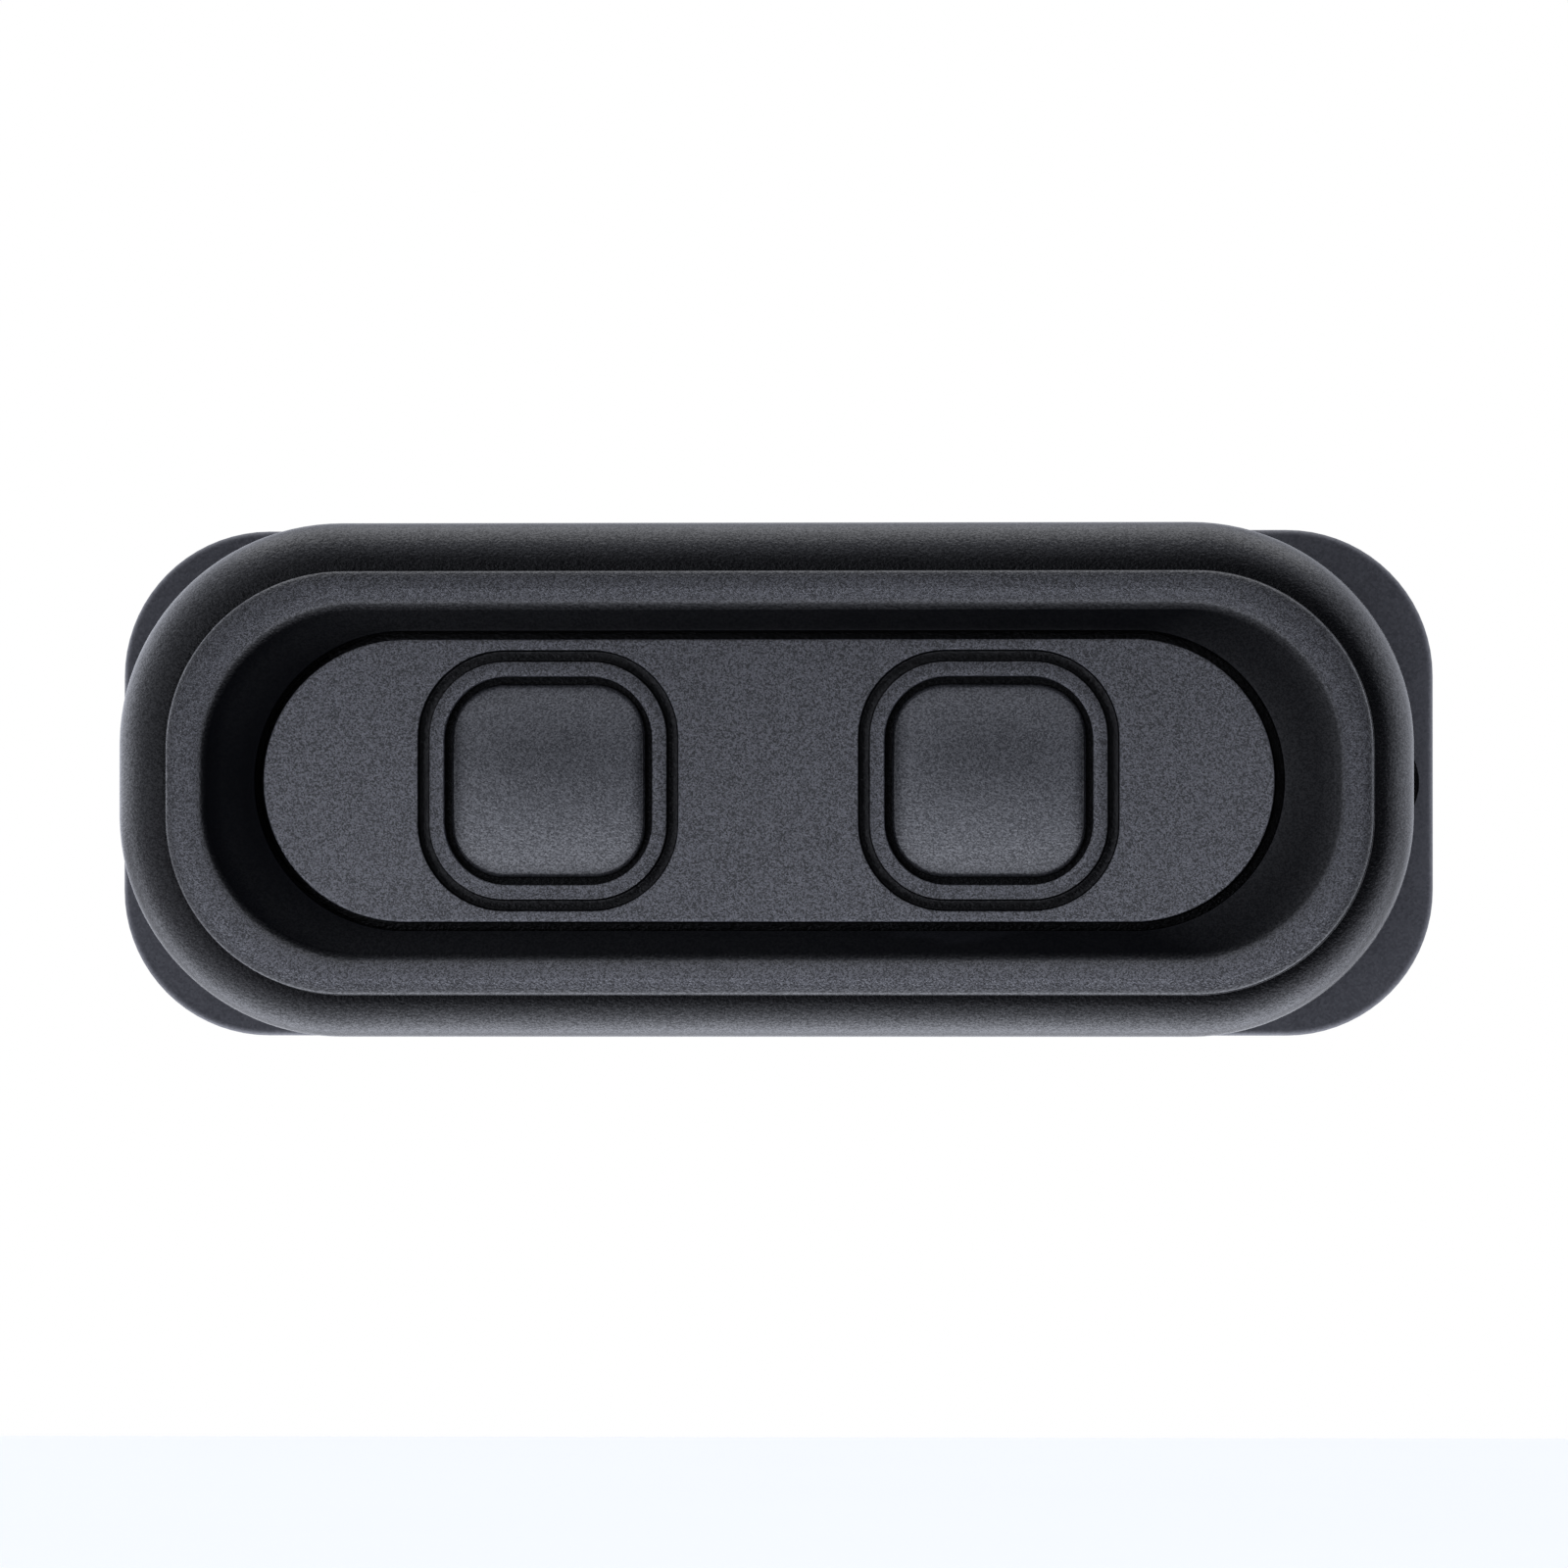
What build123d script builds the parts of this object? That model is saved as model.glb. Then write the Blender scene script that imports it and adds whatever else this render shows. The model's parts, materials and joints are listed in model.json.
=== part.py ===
from build123d import *

import os

# A two-button pedestrian call unit for a wall or a pole face, modelled piece by piece, in millimetres.
# Wall-mounted pose: X runs along the unit, Z is up, the front faces -Y and the wall is the plane Y = 0.
# Every height below is a distance out from the wall, and every sketch plane is parallel to the wall.

os.makedirs("parts", exist_ok=True)

WALL = Plane(origin=(0, 0, 0), x_dir=(1, 0, 0), z_dir=(0, -1, 0))
SLIP = 0.05  # clearance between pieces that touch on the real unit

# Outlines, length and width
PLATE_L, PLATE_W, PLATE_R = 101.7, 39.2, 11.3
BEZEL_L, BEZEL_W, BEZEL_R = 99.8, 39.6, 17.2
OUTLINE_X, OUTLINE_Z = -0.5, 0.15  # the bezel's outer line sits this far off its middle
BAND_L, BAND_W, BAND_R = 87.7, 27.5, 12.9  # inner edge of the raised band
MOUTH_L, MOUTH_W = 79.0, 23.0  # opening in the bezel
PANEL_L, PANEL_W = 77.6, 21.7
FLANGE_L, FLANGE_W = 82.6, 25.8
BOARD_L, BOARD_W, BOARD_R = 91.2, 30.8, 12.9
COVER_L, COVER_W, COVER_R = 93.8, 33.4, 14.2

# Heights from the wall
GASKET_T = 0.8
PLATE_TOP = 3.8
BEZEL_BASE = 4.0
COVER_BACK, COVER_FRONT = 4.3, 5.8
LEDGE = 6.4
BOARD_BACK, BOARD_FRONT = 9.0, 10.2
FLANGE_BACK, FLANGE_FRONT = 10.7, 11.8
WIDEST = 11.8
CEILING = 12.2
MOUTH_TOP = 16.6
CREASE = 15.0
PANEL_UNDER, PANEL_TOP = 15.6, 17.4
BAND_TOP = 17.6

# Keys
KEY_PITCH = 33.8
CAP, CAP_R, CAP_TOP = 14.85, 4.0, 17.2
APERTURE, APERTURE_R = 16.0, 4.85
GROOVE, GROOVE_R, GROOVE_W, GROOVE_DEPTH = 20.0, 6.7, 0.88, 1.15
COLLAR_R, COLLAR_BORE_R = 5.5, 4.1
STEM_END = 13.42

# Fixings and cable entry
SCREW_PITCH, SCREW_HOLE_R, SCREW_RECESS_R = 91.0, 2.25, 4.3
COVER_SCREW_X, COVER_SCREW_Z = 26.0, 14.9
BOARD_SCREW_X, BOARD_SCREW_Z = 42.0, 7.5
PILOT_R = 0.8
CABLE_X, CABLE_WINDOW_R, CABLE_R = -12.0, 7.0, 2.6
HOOK_X, HOOK_Z = 37.0, 6.0


def at(height):
    """The plane parallel to the wall at this height, facing away from it."""
    return WALL.offset(height)


def facing_wall(height):
    """The plane at this height that faces the wall, for screws and holes made from behind."""
    return Plane(origin=(0, -height, 0), x_dir=(1, 0, 0), z_dir=(0, 1, 0))


def front_edges(builder):
    """The outline of a part's front face."""
    return builder.faces().sort_by(Axis.Y)[0].outer_wire().edges()


def save(builder, name):
    builder.part.label = name
    export_step(builder.part, f"parts/{name}.step")


# ---- wall gasket: a flat rubber sheet between the plate and the wall
GASKET_INSET = 0.4
with BuildPart() as wall_gasket:
    with BuildSketch(at(0)):
        RectangleRounded(PLATE_L - 2 * GASKET_INSET, PLATE_W - 2 * GASKET_INSET, PLATE_R - GASKET_INSET)
        with GridLocations(SCREW_PITCH, 0, 2, 1):
            Circle(SCREW_HOLE_R + GASKET_INSET, mode=Mode.SUBTRACT)
        with Locations((CABLE_X, 0)):
            Circle(CABLE_WINDOW_R, mode=Mode.SUBTRACT)
    extrude(amount=GASKET_T - SLIP)
save(wall_gasket, "wall_gasket")


# ---- wall plate: screwed to the wall first, its hooks then hold the rear cover
HOOK_T, HOOK_W, HOOK_TIP = 1.3, 4.0, 7.3
BARB, BARB_BACK = 0.7, COVER_FRONT + 0.15
PLATE_EDGE_R = 0.45
PLATE_POCKET_L, PLATE_POCKET_W, PLATE_POCKET_DEPTH = 74.0, 30.0, 1.4
PLATE_RIB_T, PLATE_RIB_PITCH, WINDOW_WALL_T = 2.0, 44.0, 1.6
SCREW_RECESS_DEPTH = 2.0
POST_ROOT = 0.3


def snap_hook(x, z):
    """A hook with its barb pointing away from the middle of the plate."""
    side = 1 if x > 0 else -1
    with BuildPart() as hook:
        with BuildSketch(Plane(origin=(x, 0, z), x_dir=(side, 0, 0), z_dir=(0, 0, side))):
            with BuildLine():
                Polyline(
                    (-HOOK_T / 2, POST_ROOT - PLATE_TOP),
                    (HOOK_T / 2, POST_ROOT - PLATE_TOP),
                    (HOOK_T / 2, -BARB_BACK),
                    (HOOK_T / 2 + BARB, -BARB_BACK),
                    (HOOK_T / 2, -HOOK_TIP),
                    (-HOOK_T / 2, -HOOK_TIP),
                    close=True,
                )
            make_face()
        extrude(amount=HOOK_W / 2, both=True)
    return hook.part


hooks = [snap_hook(x, z) for x in (-HOOK_X, HOOK_X) for z in (-HOOK_Z, HOOK_Z)]

with BuildPart() as wall_plate:
    with BuildSketch(at(GASKET_T)):
        RectangleRounded(PLATE_L, PLATE_W, PLATE_R)
    extrude(amount=PLATE_TOP - GASKET_T)
    fillet(front_edges(wall_plate), PLATE_EDGE_R)
    # the plate is cored out from behind, with ribs left across it and a wall round the cable window
    with BuildSketch(at(GASKET_T)):
        RectangleRounded(PLATE_POCKET_L, PLATE_POCKET_W, PLATE_R)
        with GridLocations(PLATE_RIB_PITCH, 0, 2, 1):
            Rectangle(PLATE_RIB_T, PLATE_W, mode=Mode.SUBTRACT)
        with Locations((CABLE_X, 0)):
            Circle(CABLE_WINDOW_R + WINDOW_WALL_T, mode=Mode.SUBTRACT)
        with Locations((CABLE_X, PLATE_W / 2), (CABLE_X, -PLATE_W / 2), (0, 0)):
            Rectangle(PLATE_RIB_T, PLATE_W, mode=Mode.SUBTRACT)
    extrude(amount=PLATE_POCKET_DEPTH, mode=Mode.SUBTRACT)
    with BuildSketch(at(GASKET_T)):
        with Locations((CABLE_X, 0)):
            Circle(CABLE_WINDOW_R)
    extrude(amount=PLATE_TOP, mode=Mode.SUBTRACT)
    with Locations(at(PLATE_TOP)):
        with GridLocations(SCREW_PITCH, 0, 2, 1):
            CounterBoreHole(SCREW_HOLE_R, SCREW_RECESS_R, SCREW_RECESS_DEPTH)
    add(hooks)
save(wall_plate, "wall_plate")


# ---- rear cover: closes the back of the bezel
COVER_HOLE_R, COVER_HEAD_R, COVER_HEAD_DEPTH = 1.15, 2.1, 0.95
RIB_T, RIB_H = 1.0, 0.9
LONG_RIB, LONG_RIB_PITCH, CROSS_RIB = 58.0, 21.0, 20.0
CROSS_RIB_SPOTS = [(-30, 0), (32, 0)]
HOOK_GAP = 0.4
GROMMET_WAIST_R = 4.0
with BuildPart() as rear_cover:
    with BuildSketch(at(COVER_BACK)):
        RectangleRounded(COVER_L, COVER_W, COVER_R)
        with GridLocations(2 * HOOK_X, 2 * HOOK_Z, 2, 2):
            Rectangle(HOOK_T + HOOK_GAP, HOOK_W + 2 * HOOK_GAP, mode=Mode.SUBTRACT)
        with Locations((CABLE_X, 0)):
            Circle(GROMMET_WAIST_R + SLIP, mode=Mode.SUBTRACT)
    extrude(amount=COVER_FRONT - COVER_BACK)
    with BuildSketch(at(COVER_FRONT)):
        with GridLocations(0, LONG_RIB_PITCH, 1, 2):
            Rectangle(LONG_RIB, RIB_T)
        with Locations(*CROSS_RIB_SPOTS):
            Rectangle(RIB_T, CROSS_RIB)
    extrude(amount=RIB_H)
    with Locations(facing_wall(COVER_BACK)):
        with GridLocations(2 * COVER_SCREW_X, 2 * COVER_SCREW_Z, 2, 2):
            CounterSinkHole(COVER_HOLE_R, COVER_HEAD_R, counter_sink_angle=90)
save(rear_cover, "rear_cover")


# ---- cover seal: a square-section ring squeezed between the rear cover and the bezel's ledge
SEAL_INSET, SEAL_W = 0.1, 0.6
with BuildPart() as cover_seal:
    with BuildSketch(at(COVER_FRONT + SLIP)):
        RectangleRounded(COVER_L - 2 * SEAL_INSET, COVER_W - 2 * SEAL_INSET, COVER_R - SEAL_INSET)
        seal_bore = SEAL_INSET + SEAL_W
        RectangleRounded(
            COVER_L - 2 * seal_bore, COVER_W - 2 * seal_bore, COVER_R - seal_bore, mode=Mode.SUBTRACT
        )
    extrude(amount=LEDGE - COVER_FRONT - 2 * SLIP)
save(cover_seal, "cover_seal")


# ---- cable grommet: snaps into the rear cover, its flange sits in the plate's window
GROMMET_FLANGE_R, GROMMET_REAR, GROMMET_FRONT = 5.5, 3.2, 6.8
with BuildPart() as cable_grommet:
    for radius, back, front in (
        (GROMMET_FLANGE_R, GROMMET_REAR, COVER_BACK - SLIP),
        (GROMMET_WAIST_R, COVER_BACK - SLIP, COVER_FRONT + SLIP),
        (GROMMET_FLANGE_R, COVER_FRONT + SLIP, GROMMET_FRONT),
    ):
        with BuildSketch(at(back)):
            with Locations((CABLE_X, 0)):
                Circle(radius)
        extrude(amount=front - back)
    fillet(cable_grommet.edges().filter_by(GeomType.CIRCLE).group_by(Axis.Y)[0], 0.3)
    fillet(cable_grommet.edges().filter_by(GeomType.CIRCLE).group_by(Axis.Y)[-1], 0.3)
    with BuildSketch(at(GROMMET_REAR)):
        with Locations((CABLE_X, 0)):
            Circle(CABLE_R)
    extrude(amount=GROMMET_FRONT - GROMMET_REAR, mode=Mode.SUBTRACT)
save(cable_grommet, "cable_grommet")


# ---- cover screws: four countersunk self-tapping screws, driven from behind
SHANK_R = PILOT_R - 0.02
SLOT_L, SLOT_W, SLOT_DEPTH = 2.2, 0.5, 0.5
COVER_SCREW_TIP = 10.9
with BuildPart() as cover_screws:
    with BuildSketch(at(COVER_BACK + 0.04)):
        with GridLocations(2 * COVER_SCREW_X, 2 * COVER_SCREW_Z, 2, 2):
            Circle(COVER_HEAD_R - 0.08)
    extrude(amount=COVER_HEAD_DEPTH, taper=45)
    with BuildSketch(at(COVER_BACK + COVER_HEAD_DEPTH - 0.2)):
        with GridLocations(2 * COVER_SCREW_X, 2 * COVER_SCREW_Z, 2, 2):
            Circle(SHANK_R)
    extrude(amount=COVER_SCREW_TIP - COVER_BACK - COVER_HEAD_DEPTH + 0.2)
    with BuildSketch(at(COVER_BACK)):
        with GridLocations(2 * COVER_SCREW_X, 2 * COVER_SCREW_Z, 2, 2):
            Rectangle(SLOT_L, SLOT_W)
            Rectangle(SLOT_W, SLOT_L)
    extrude(amount=SLOT_DEPTH, mode=Mode.SUBTRACT)
save(cover_screws, "cover_screws")


# ---- bezel: the outer roll, the raised band and the moat round the mouth, one moulding
ROLL_R = CREASE - WIDEST
TUCK_ANGLE = 11.5
BAND_FOOT_INSET, BAND_TAPER = 3.5, 3.0
BAND_OUTER_R, BAND_INNER_R = 0.85, 0.5
BAND_Z = -0.15  # the raised band sits a little below the bezel's middle
STEP_IN, STEP_DROP = 0.7, 0.75  # steep inner edge of the band, above the nearly flat moat
PILOT_END = 13.6
SEAT_L, SEAT_W, SEAT_R = 94.2, 33.8, 14.4  # pocket for the rear cover
CAVITY_L, CAVITY_W, CAVITY_R = 92.0, 31.6, 13.3
CORE_OUT = (90.0, 29.8, 14.0)  # groove that thins the band from inside
CORE_IN = (86.4, 27.8, 13.0)
CORE_TOP = 15.4
BOSS_R, BOSS_END = 1.8, 14.4
with BuildPart() as bezel:
    with BuildSketch(at(WIDEST)):
        with Locations((OUTLINE_X, OUTLINE_Z)):
            RectangleRounded(BEZEL_L, BEZEL_W, BEZEL_R)
    extrude(amount=ROLL_R)
    fillet(front_edges(bezel), ROLL_R - 0.02)
    with BuildSketch(at(WIDEST)):
        with Locations((OUTLINE_X, OUTLINE_Z)):
            RectangleRounded(BEZEL_L, BEZEL_W, BEZEL_R)
    extrude(amount=BEZEL_BASE - WIDEST, taper=TUCK_ANGLE)
    with BuildSketch(at(CREASE - 0.5)):
        foot = 2 * BAND_FOOT_INSET
        with Locations((0, BAND_Z)):
            RectangleRounded(BEZEL_L - foot, BEZEL_W - foot, BEZEL_R - BAND_FOOT_INSET)
    extrude(amount=BAND_TOP - CREASE + 0.5, taper=BAND_TAPER)
    fillet(front_edges(bezel), BAND_OUTER_R)
    # the steep step inside the band, then the nearly flat moat down to the mouth
    with BuildSketch(at(BAND_TOP)):
        with Locations((0, BAND_Z)):
            RectangleRounded(BAND_L, BAND_W, BAND_R)
    with BuildSketch(at(BAND_TOP - STEP_DROP)):
        step = 2 * STEP_IN
        with Locations((0, BAND_Z)):
            RectangleRounded(BAND_L - step, BAND_W - step, BAND_R - STEP_IN)
    loft(ruled=True, mode=Mode.SUBTRACT)
    with BuildSketch(at(BAND_TOP - STEP_DROP)):
        with Locations((0, BAND_Z)):
            RectangleRounded(BAND_L - step, BAND_W - step, BAND_R - STEP_IN)
    with BuildSketch(at(MOUTH_TOP)):
        RectangleRounded(MOUTH_L, MOUTH_W, MOUTH_W / 2 - SLIP)
    loft(ruled=True, mode=Mode.SUBTRACT)
    with BuildSketch(at(BEZEL_BASE)):
        SlotOverall(MOUTH_L, MOUTH_W)
    extrude(amount=MOUTH_TOP - BEZEL_BASE, mode=Mode.SUBTRACT)
    band_face = bezel.faces().sort_by(Axis.Y)[0]
    fillet(band_face.inner_wires()[0].edges(), BAND_INNER_R)
    # hollow back
    with BuildSketch(at(BEZEL_BASE)):
        RectangleRounded(SEAT_L, SEAT_W, SEAT_R)
    extrude(amount=LEDGE - BEZEL_BASE, mode=Mode.SUBTRACT)
    with BuildSketch(at(LEDGE)):
        RectangleRounded(CAVITY_L, CAVITY_W, CAVITY_R)
    extrude(amount=CEILING - LEDGE, mode=Mode.SUBTRACT)
    with BuildSketch(at(CEILING)):
        RectangleRounded(*CORE_OUT)
        RectangleRounded(*CORE_IN, mode=Mode.SUBTRACT)
    extrude(amount=CORE_TOP - CEILING, mode=Mode.SUBTRACT)
    # bosses for the board and for the rear cover
    with BuildSketch(at(LEDGE)):
        with GridLocations(2 * COVER_SCREW_X, 2 * COVER_SCREW_Z, 2, 2):
            Circle(BOSS_R)
    extrude(amount=BOSS_END - LEDGE)
    with BuildSketch(at(BOARD_FRONT + SLIP)):
        with GridLocations(2 * BOARD_SCREW_X, 2 * BOARD_SCREW_Z, 2, 2):
            Circle(BOSS_R)
    extrude(amount=BOSS_END - BOARD_FRONT - SLIP)
    with BuildSketch(at(LEDGE)):
        with GridLocations(2 * COVER_SCREW_X, 2 * COVER_SCREW_Z, 2, 2):
            Circle(PILOT_R)
        with GridLocations(2 * BOARD_SCREW_X, 2 * BOARD_SCREW_Z, 2, 2):
            Circle(PILOT_R)
    extrude(amount=PILOT_END - LEDGE, mode=Mode.SUBTRACT)
save(bezel, "bezel")


# ---- face panel: an island in the bezel's mouth, with a hollow skirt and a clamped flange
SKIRT_T = 1.5
PANEL_EDGE_R = 0.25
FOOT_R = 0.9
FOOT_SPOTS = [(-20, 11.9), (0, 11.9), (20, 11.9), (-20, -11.9), (0, -11.9), (20, -11.9)]
with BuildPart() as face_panel:
    with BuildSketch(at(FLANGE_BACK)):
        SlotOverall(PANEL_L, PANEL_W)
    extrude(amount=PANEL_TOP - FLANGE_BACK)
    fillet(front_edges(face_panel), PANEL_EDGE_R)
    with BuildSketch(at(FLANGE_BACK)):
        SlotOverall(FLANGE_L, FLANGE_W)
    extrude(amount=FLANGE_FRONT - FLANGE_BACK)
    with BuildSketch(at(FLANGE_BACK)):
        SlotOverall(PANEL_L - 2 * SKIRT_T, PANEL_W - 2 * SKIRT_T)
    extrude(amount=PANEL_UNDER - FLANGE_BACK, mode=Mode.SUBTRACT)
    with BuildSketch(at(PANEL_UNDER)):
        with GridLocations(KEY_PITCH, 0, 2, 1):
            RectangleRounded(APERTURE, APERTURE, APERTURE_R)
    extrude(amount=PANEL_TOP - PANEL_UNDER, mode=Mode.SUBTRACT)
    with BuildSketch(at(PANEL_TOP - GROOVE_DEPTH)):
        with GridLocations(KEY_PITCH, 0, 2, 1):
            RectangleRounded(GROOVE, GROOVE, GROOVE_R)
            land = GROOVE - 2 * GROOVE_W
            RectangleRounded(land, land, GROOVE_R - GROOVE_W, mode=Mode.SUBTRACT)
    extrude(amount=GROOVE_DEPTH, mode=Mode.SUBTRACT)
    with BuildSketch(at(BOARD_FRONT + SLIP)):
        with Locations(*FOOT_SPOTS):
            Circle(FOOT_R)
    extrude(amount=FLANGE_BACK - BOARD_FRONT - SLIP)
save(face_panel, "face_panel")


# ---- panel seal: a flat ring between the panel's flange and the underside of the bezel
with BuildPart() as panel_seal:
    with BuildSketch(at(FLANGE_FRONT + SLIP)):
        SlotOverall(FLANGE_L - 0.4, FLANGE_W - 0.4)
        SlotOverall(MOUTH_L + 0.4, MOUTH_W + 0.4, mode=Mode.SUBTRACT)
    extrude(amount=CEILING - FLANGE_FRONT - 2 * SLIP)
save(panel_seal, "panel_seal")


# ---- key guide: locates the domes on the board and steers both keys
GUIDE_L, GUIDE_W = 73.6, 17.8
GUIDE_TOP, COLLAR_TOP = 11.2, 13.2
DOME_FLANGE_R, DOME_FLANGE_FRONT = 5.2, 10.9
MIDDLE_WINDOW = (16.0, 11.0, 2.0)
END_WINDOW, END_WINDOW_PITCH = (6.0, 9.0, 1.5), 58.0
with BuildPart() as key_guide:
    with BuildSketch(at(BOARD_FRONT + SLIP)):
        SlotOverall(GUIDE_L, GUIDE_W)
    extrude(amount=GUIDE_TOP - BOARD_FRONT - SLIP)
    with BuildSketch(at(GUIDE_TOP)):
        with GridLocations(KEY_PITCH, 0, 2, 1):
            Circle(COLLAR_R)
    extrude(amount=COLLAR_TOP - GUIDE_TOP)
    with BuildSketch(at(BOARD_FRONT)):
        with GridLocations(KEY_PITCH, 0, 2, 1):
            Circle(COLLAR_BORE_R)
    extrude(amount=COLLAR_TOP - BOARD_FRONT, mode=Mode.SUBTRACT)
    with BuildSketch(at(BOARD_FRONT)):
        with GridLocations(KEY_PITCH, 0, 2, 1):
            Circle(DOME_FLANGE_R + 0.15)
    extrude(amount=DOME_FLANGE_FRONT + SLIP - BOARD_FRONT, mode=Mode.SUBTRACT)
    # windows that lighten the frame
    with BuildSketch(at(BOARD_FRONT)):
        RectangleRounded(*MIDDLE_WINDOW)
        with GridLocations(END_WINDOW_PITCH, 0, 2, 1):
            RectangleRounded(*END_WINDOW)
    extrude(amount=GUIDE_TOP - BOARD_FRONT, mode=Mode.SUBTRACT)
save(key_guide, "key_guide")


# ---- circuit board, with notches for the cover bosses
BOARD_HOLE_R = 1.15
with BuildPart() as circuit_board:
    with BuildSketch(at(BOARD_BACK)):
        RectangleRounded(BOARD_L, BOARD_W, BOARD_R)
        with GridLocations(2 * COVER_SCREW_X, 2 * COVER_SCREW_Z, 2, 2):
            Circle(BOSS_R + 0.3, mode=Mode.SUBTRACT)
        with GridLocations(2 * BOARD_SCREW_X, 2 * BOARD_SCREW_Z, 2, 2):
            Circle(BOARD_HOLE_R, mode=Mode.SUBTRACT)
    extrude(amount=BOARD_FRONT - BOARD_BACK)
save(circuit_board, "circuit_board")


# ---- board screws: four pan-head screws into the bezel's bosses
BOARD_HEAD_R, BOARD_HEAD_H, BOARD_SCREW_TIP = 1.9, 1.2, 13.2
with BuildPart() as board_screws:
    with BuildSketch(at(BOARD_BACK - SLIP)):
        with GridLocations(2 * BOARD_SCREW_X, 2 * BOARD_SCREW_Z, 2, 2):
            Circle(BOARD_HEAD_R)
    extrude(amount=-BOARD_HEAD_H)
    fillet(board_screws.edges().group_by(Axis.Y)[-1], 0.5)
    with BuildSketch(at(BOARD_BACK - SLIP)):
        with GridLocations(2 * BOARD_SCREW_X, 2 * BOARD_SCREW_Z, 2, 2):
            Circle(SHANK_R)
    extrude(amount=BOARD_SCREW_TIP - BOARD_BACK)
    with BuildSketch(at(BOARD_BACK - SLIP - BOARD_HEAD_H)):
        with GridLocations(2 * BOARD_SCREW_X, 2 * BOARD_SCREW_Z, 2, 2):
            Rectangle(SLOT_L, SLOT_W)
            Rectangle(SLOT_W, SLOT_L)
    extrude(amount=SLOT_DEPTH, mode=Mode.SUBTRACT)
save(board_screws, "board_screws")


# ---- contact pads: two half-discs of gold under each key
PAD_R, PAD_SPLIT, PAD_T = 2.4, 0.5, 0.035
with BuildPart() as contact_pads:
    with BuildSketch(at(BOARD_FRONT)):
        with GridLocations(KEY_PITCH, 0, 2, 1):
            Circle(PAD_R)
            Rectangle(PAD_SPLIT, 2 * PAD_R, mode=Mode.SUBTRACT)
    extrude(amount=PAD_T)
save(contact_pads, "contact_pads")


# ---- terminal block on the back of the board, with one spring lever for each wire
WAYS, WAY_PITCH = 4, 3.0
BLOCK_X, BLOCK_L, BLOCK_BACK = 6.0, 7.6, 6.1
BLOCK_W = WAYS * WAY_PITCH + 0.8
WIRE_R, WIRE_DEPTH, WIRE_HEIGHT = 0.75, 4.0, 7.8
LEVER_L, LEVER_W, LEVER_H = 3.2, 1.8, 0.7
LEVER_X = BLOCK_X + 1.4
with BuildPart() as terminal_block:
    with BuildSketch(at(BLOCK_BACK)):
        with Locations((BLOCK_X, 0)):
            Rectangle(BLOCK_L, BLOCK_W)
    extrude(amount=BOARD_BACK - SLIP - BLOCK_BACK)
    chamfer(terminal_block.faces().sort_by(Axis.Y)[-1].edges(), 0.3)
    # wire holes face the grommet
    block_face = Plane(origin=(BLOCK_X - BLOCK_L / 2, -WIRE_HEIGHT, 0), x_dir=(0, 0, 1), z_dir=(-1, 0, 0))
    with BuildSketch(block_face):
        with GridLocations(WAY_PITCH, 0, WAYS, 1):
            Circle(WIRE_R)
    extrude(amount=-WIRE_DEPTH, mode=Mode.SUBTRACT)
    # pockets for the levers
    with BuildSketch(at(BLOCK_BACK)):
        with Locations((LEVER_X, 0)):
            with GridLocations(0, WAY_PITCH, 1, WAYS):
                Rectangle(LEVER_L + 0.2, LEVER_W + 0.2)
    extrude(amount=LEVER_H, mode=Mode.SUBTRACT)
save(terminal_block, "terminal_block")

with BuildPart() as terminal_levers:
    with BuildSketch(at(BLOCK_BACK + 0.1)):
        with Locations((LEVER_X, 0)):
            with GridLocations(0, WAY_PITCH, 1, WAYS):
                Rectangle(LEVER_L, LEVER_W)
    extrude(amount=LEVER_H - 0.1 - SLIP)
    chamfer(terminal_levers.faces().group_by(Axis.Y)[-1].edges(), 0.15)
save(terminal_levers, "terminal_levers")


# ---- electronics soldered to the back of the board
LEG_T, LEG_W = 0.15, 0.35
CHIP, CHIP_H, CHIP_X = 5.6, 1.0, -24.0
LEG_PITCH, LEGS_A_SIDE, LEG_REACH = 0.8, 6, 1.0
with BuildPart() as microcontroller:
    with BuildSketch(at(BOARD_BACK - SLIP)):
        with Locations((CHIP_X, 0)):
            RectangleRounded(CHIP, CHIP, 0.2)
    extrude(amount=-CHIP_H)
    with BuildSketch(at(BOARD_BACK - SLIP)):
        with Locations((CHIP_X, 0)):
            with GridLocations(CHIP + LEG_REACH, LEG_PITCH, 2, LEGS_A_SIDE):
                Rectangle(LEG_REACH + 0.4, LEG_W)
            with GridLocations(LEG_PITCH, CHIP + LEG_REACH, LEGS_A_SIDE, 2):
                Rectangle(LEG_W, LEG_REACH + 0.4)
    extrude(amount=-LEG_T)
save(microcontroller, "microcontroller")

CAN_R, CAN_H, CAN_BASE_H = 2.0, 2.7, 0.5
CAN_SPOTS = [(18, 5), (18, -5)]
with BuildPart() as capacitors:
    with BuildSketch(at(BOARD_BACK - SLIP)):
        with Locations(*CAN_SPOTS):
            RectangleRounded(2 * CAN_R + 0.3, 2 * CAN_R + 0.3, 0.5)
    extrude(amount=-CAN_BASE_H)
    with BuildSketch(at(BOARD_BACK - SLIP)):
        with Locations(*CAN_SPOTS):
            Circle(CAN_R)
    extrude(amount=-CAN_H)
    fillet(capacitors.edges().group_by(Axis.Y)[-1], 0.3)
save(capacitors, "capacitors")

RESISTOR_L, RESISTOR_W, RESISTOR_H = 1.6, 0.8, 0.45
RESISTOR_SPOTS = [(-17, 7.4), (26, 0)]
with BuildPart() as resistors:
    with BuildSketch(at(BOARD_BACK - SLIP)):
        with Locations(*RESISTOR_SPOTS):
            with GridLocations(2.4, 2.0, 2, 2):
                Rectangle(RESISTOR_L, RESISTOR_W)
    extrude(amount=-RESISTOR_H)
save(resistors, "resistors")

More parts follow.
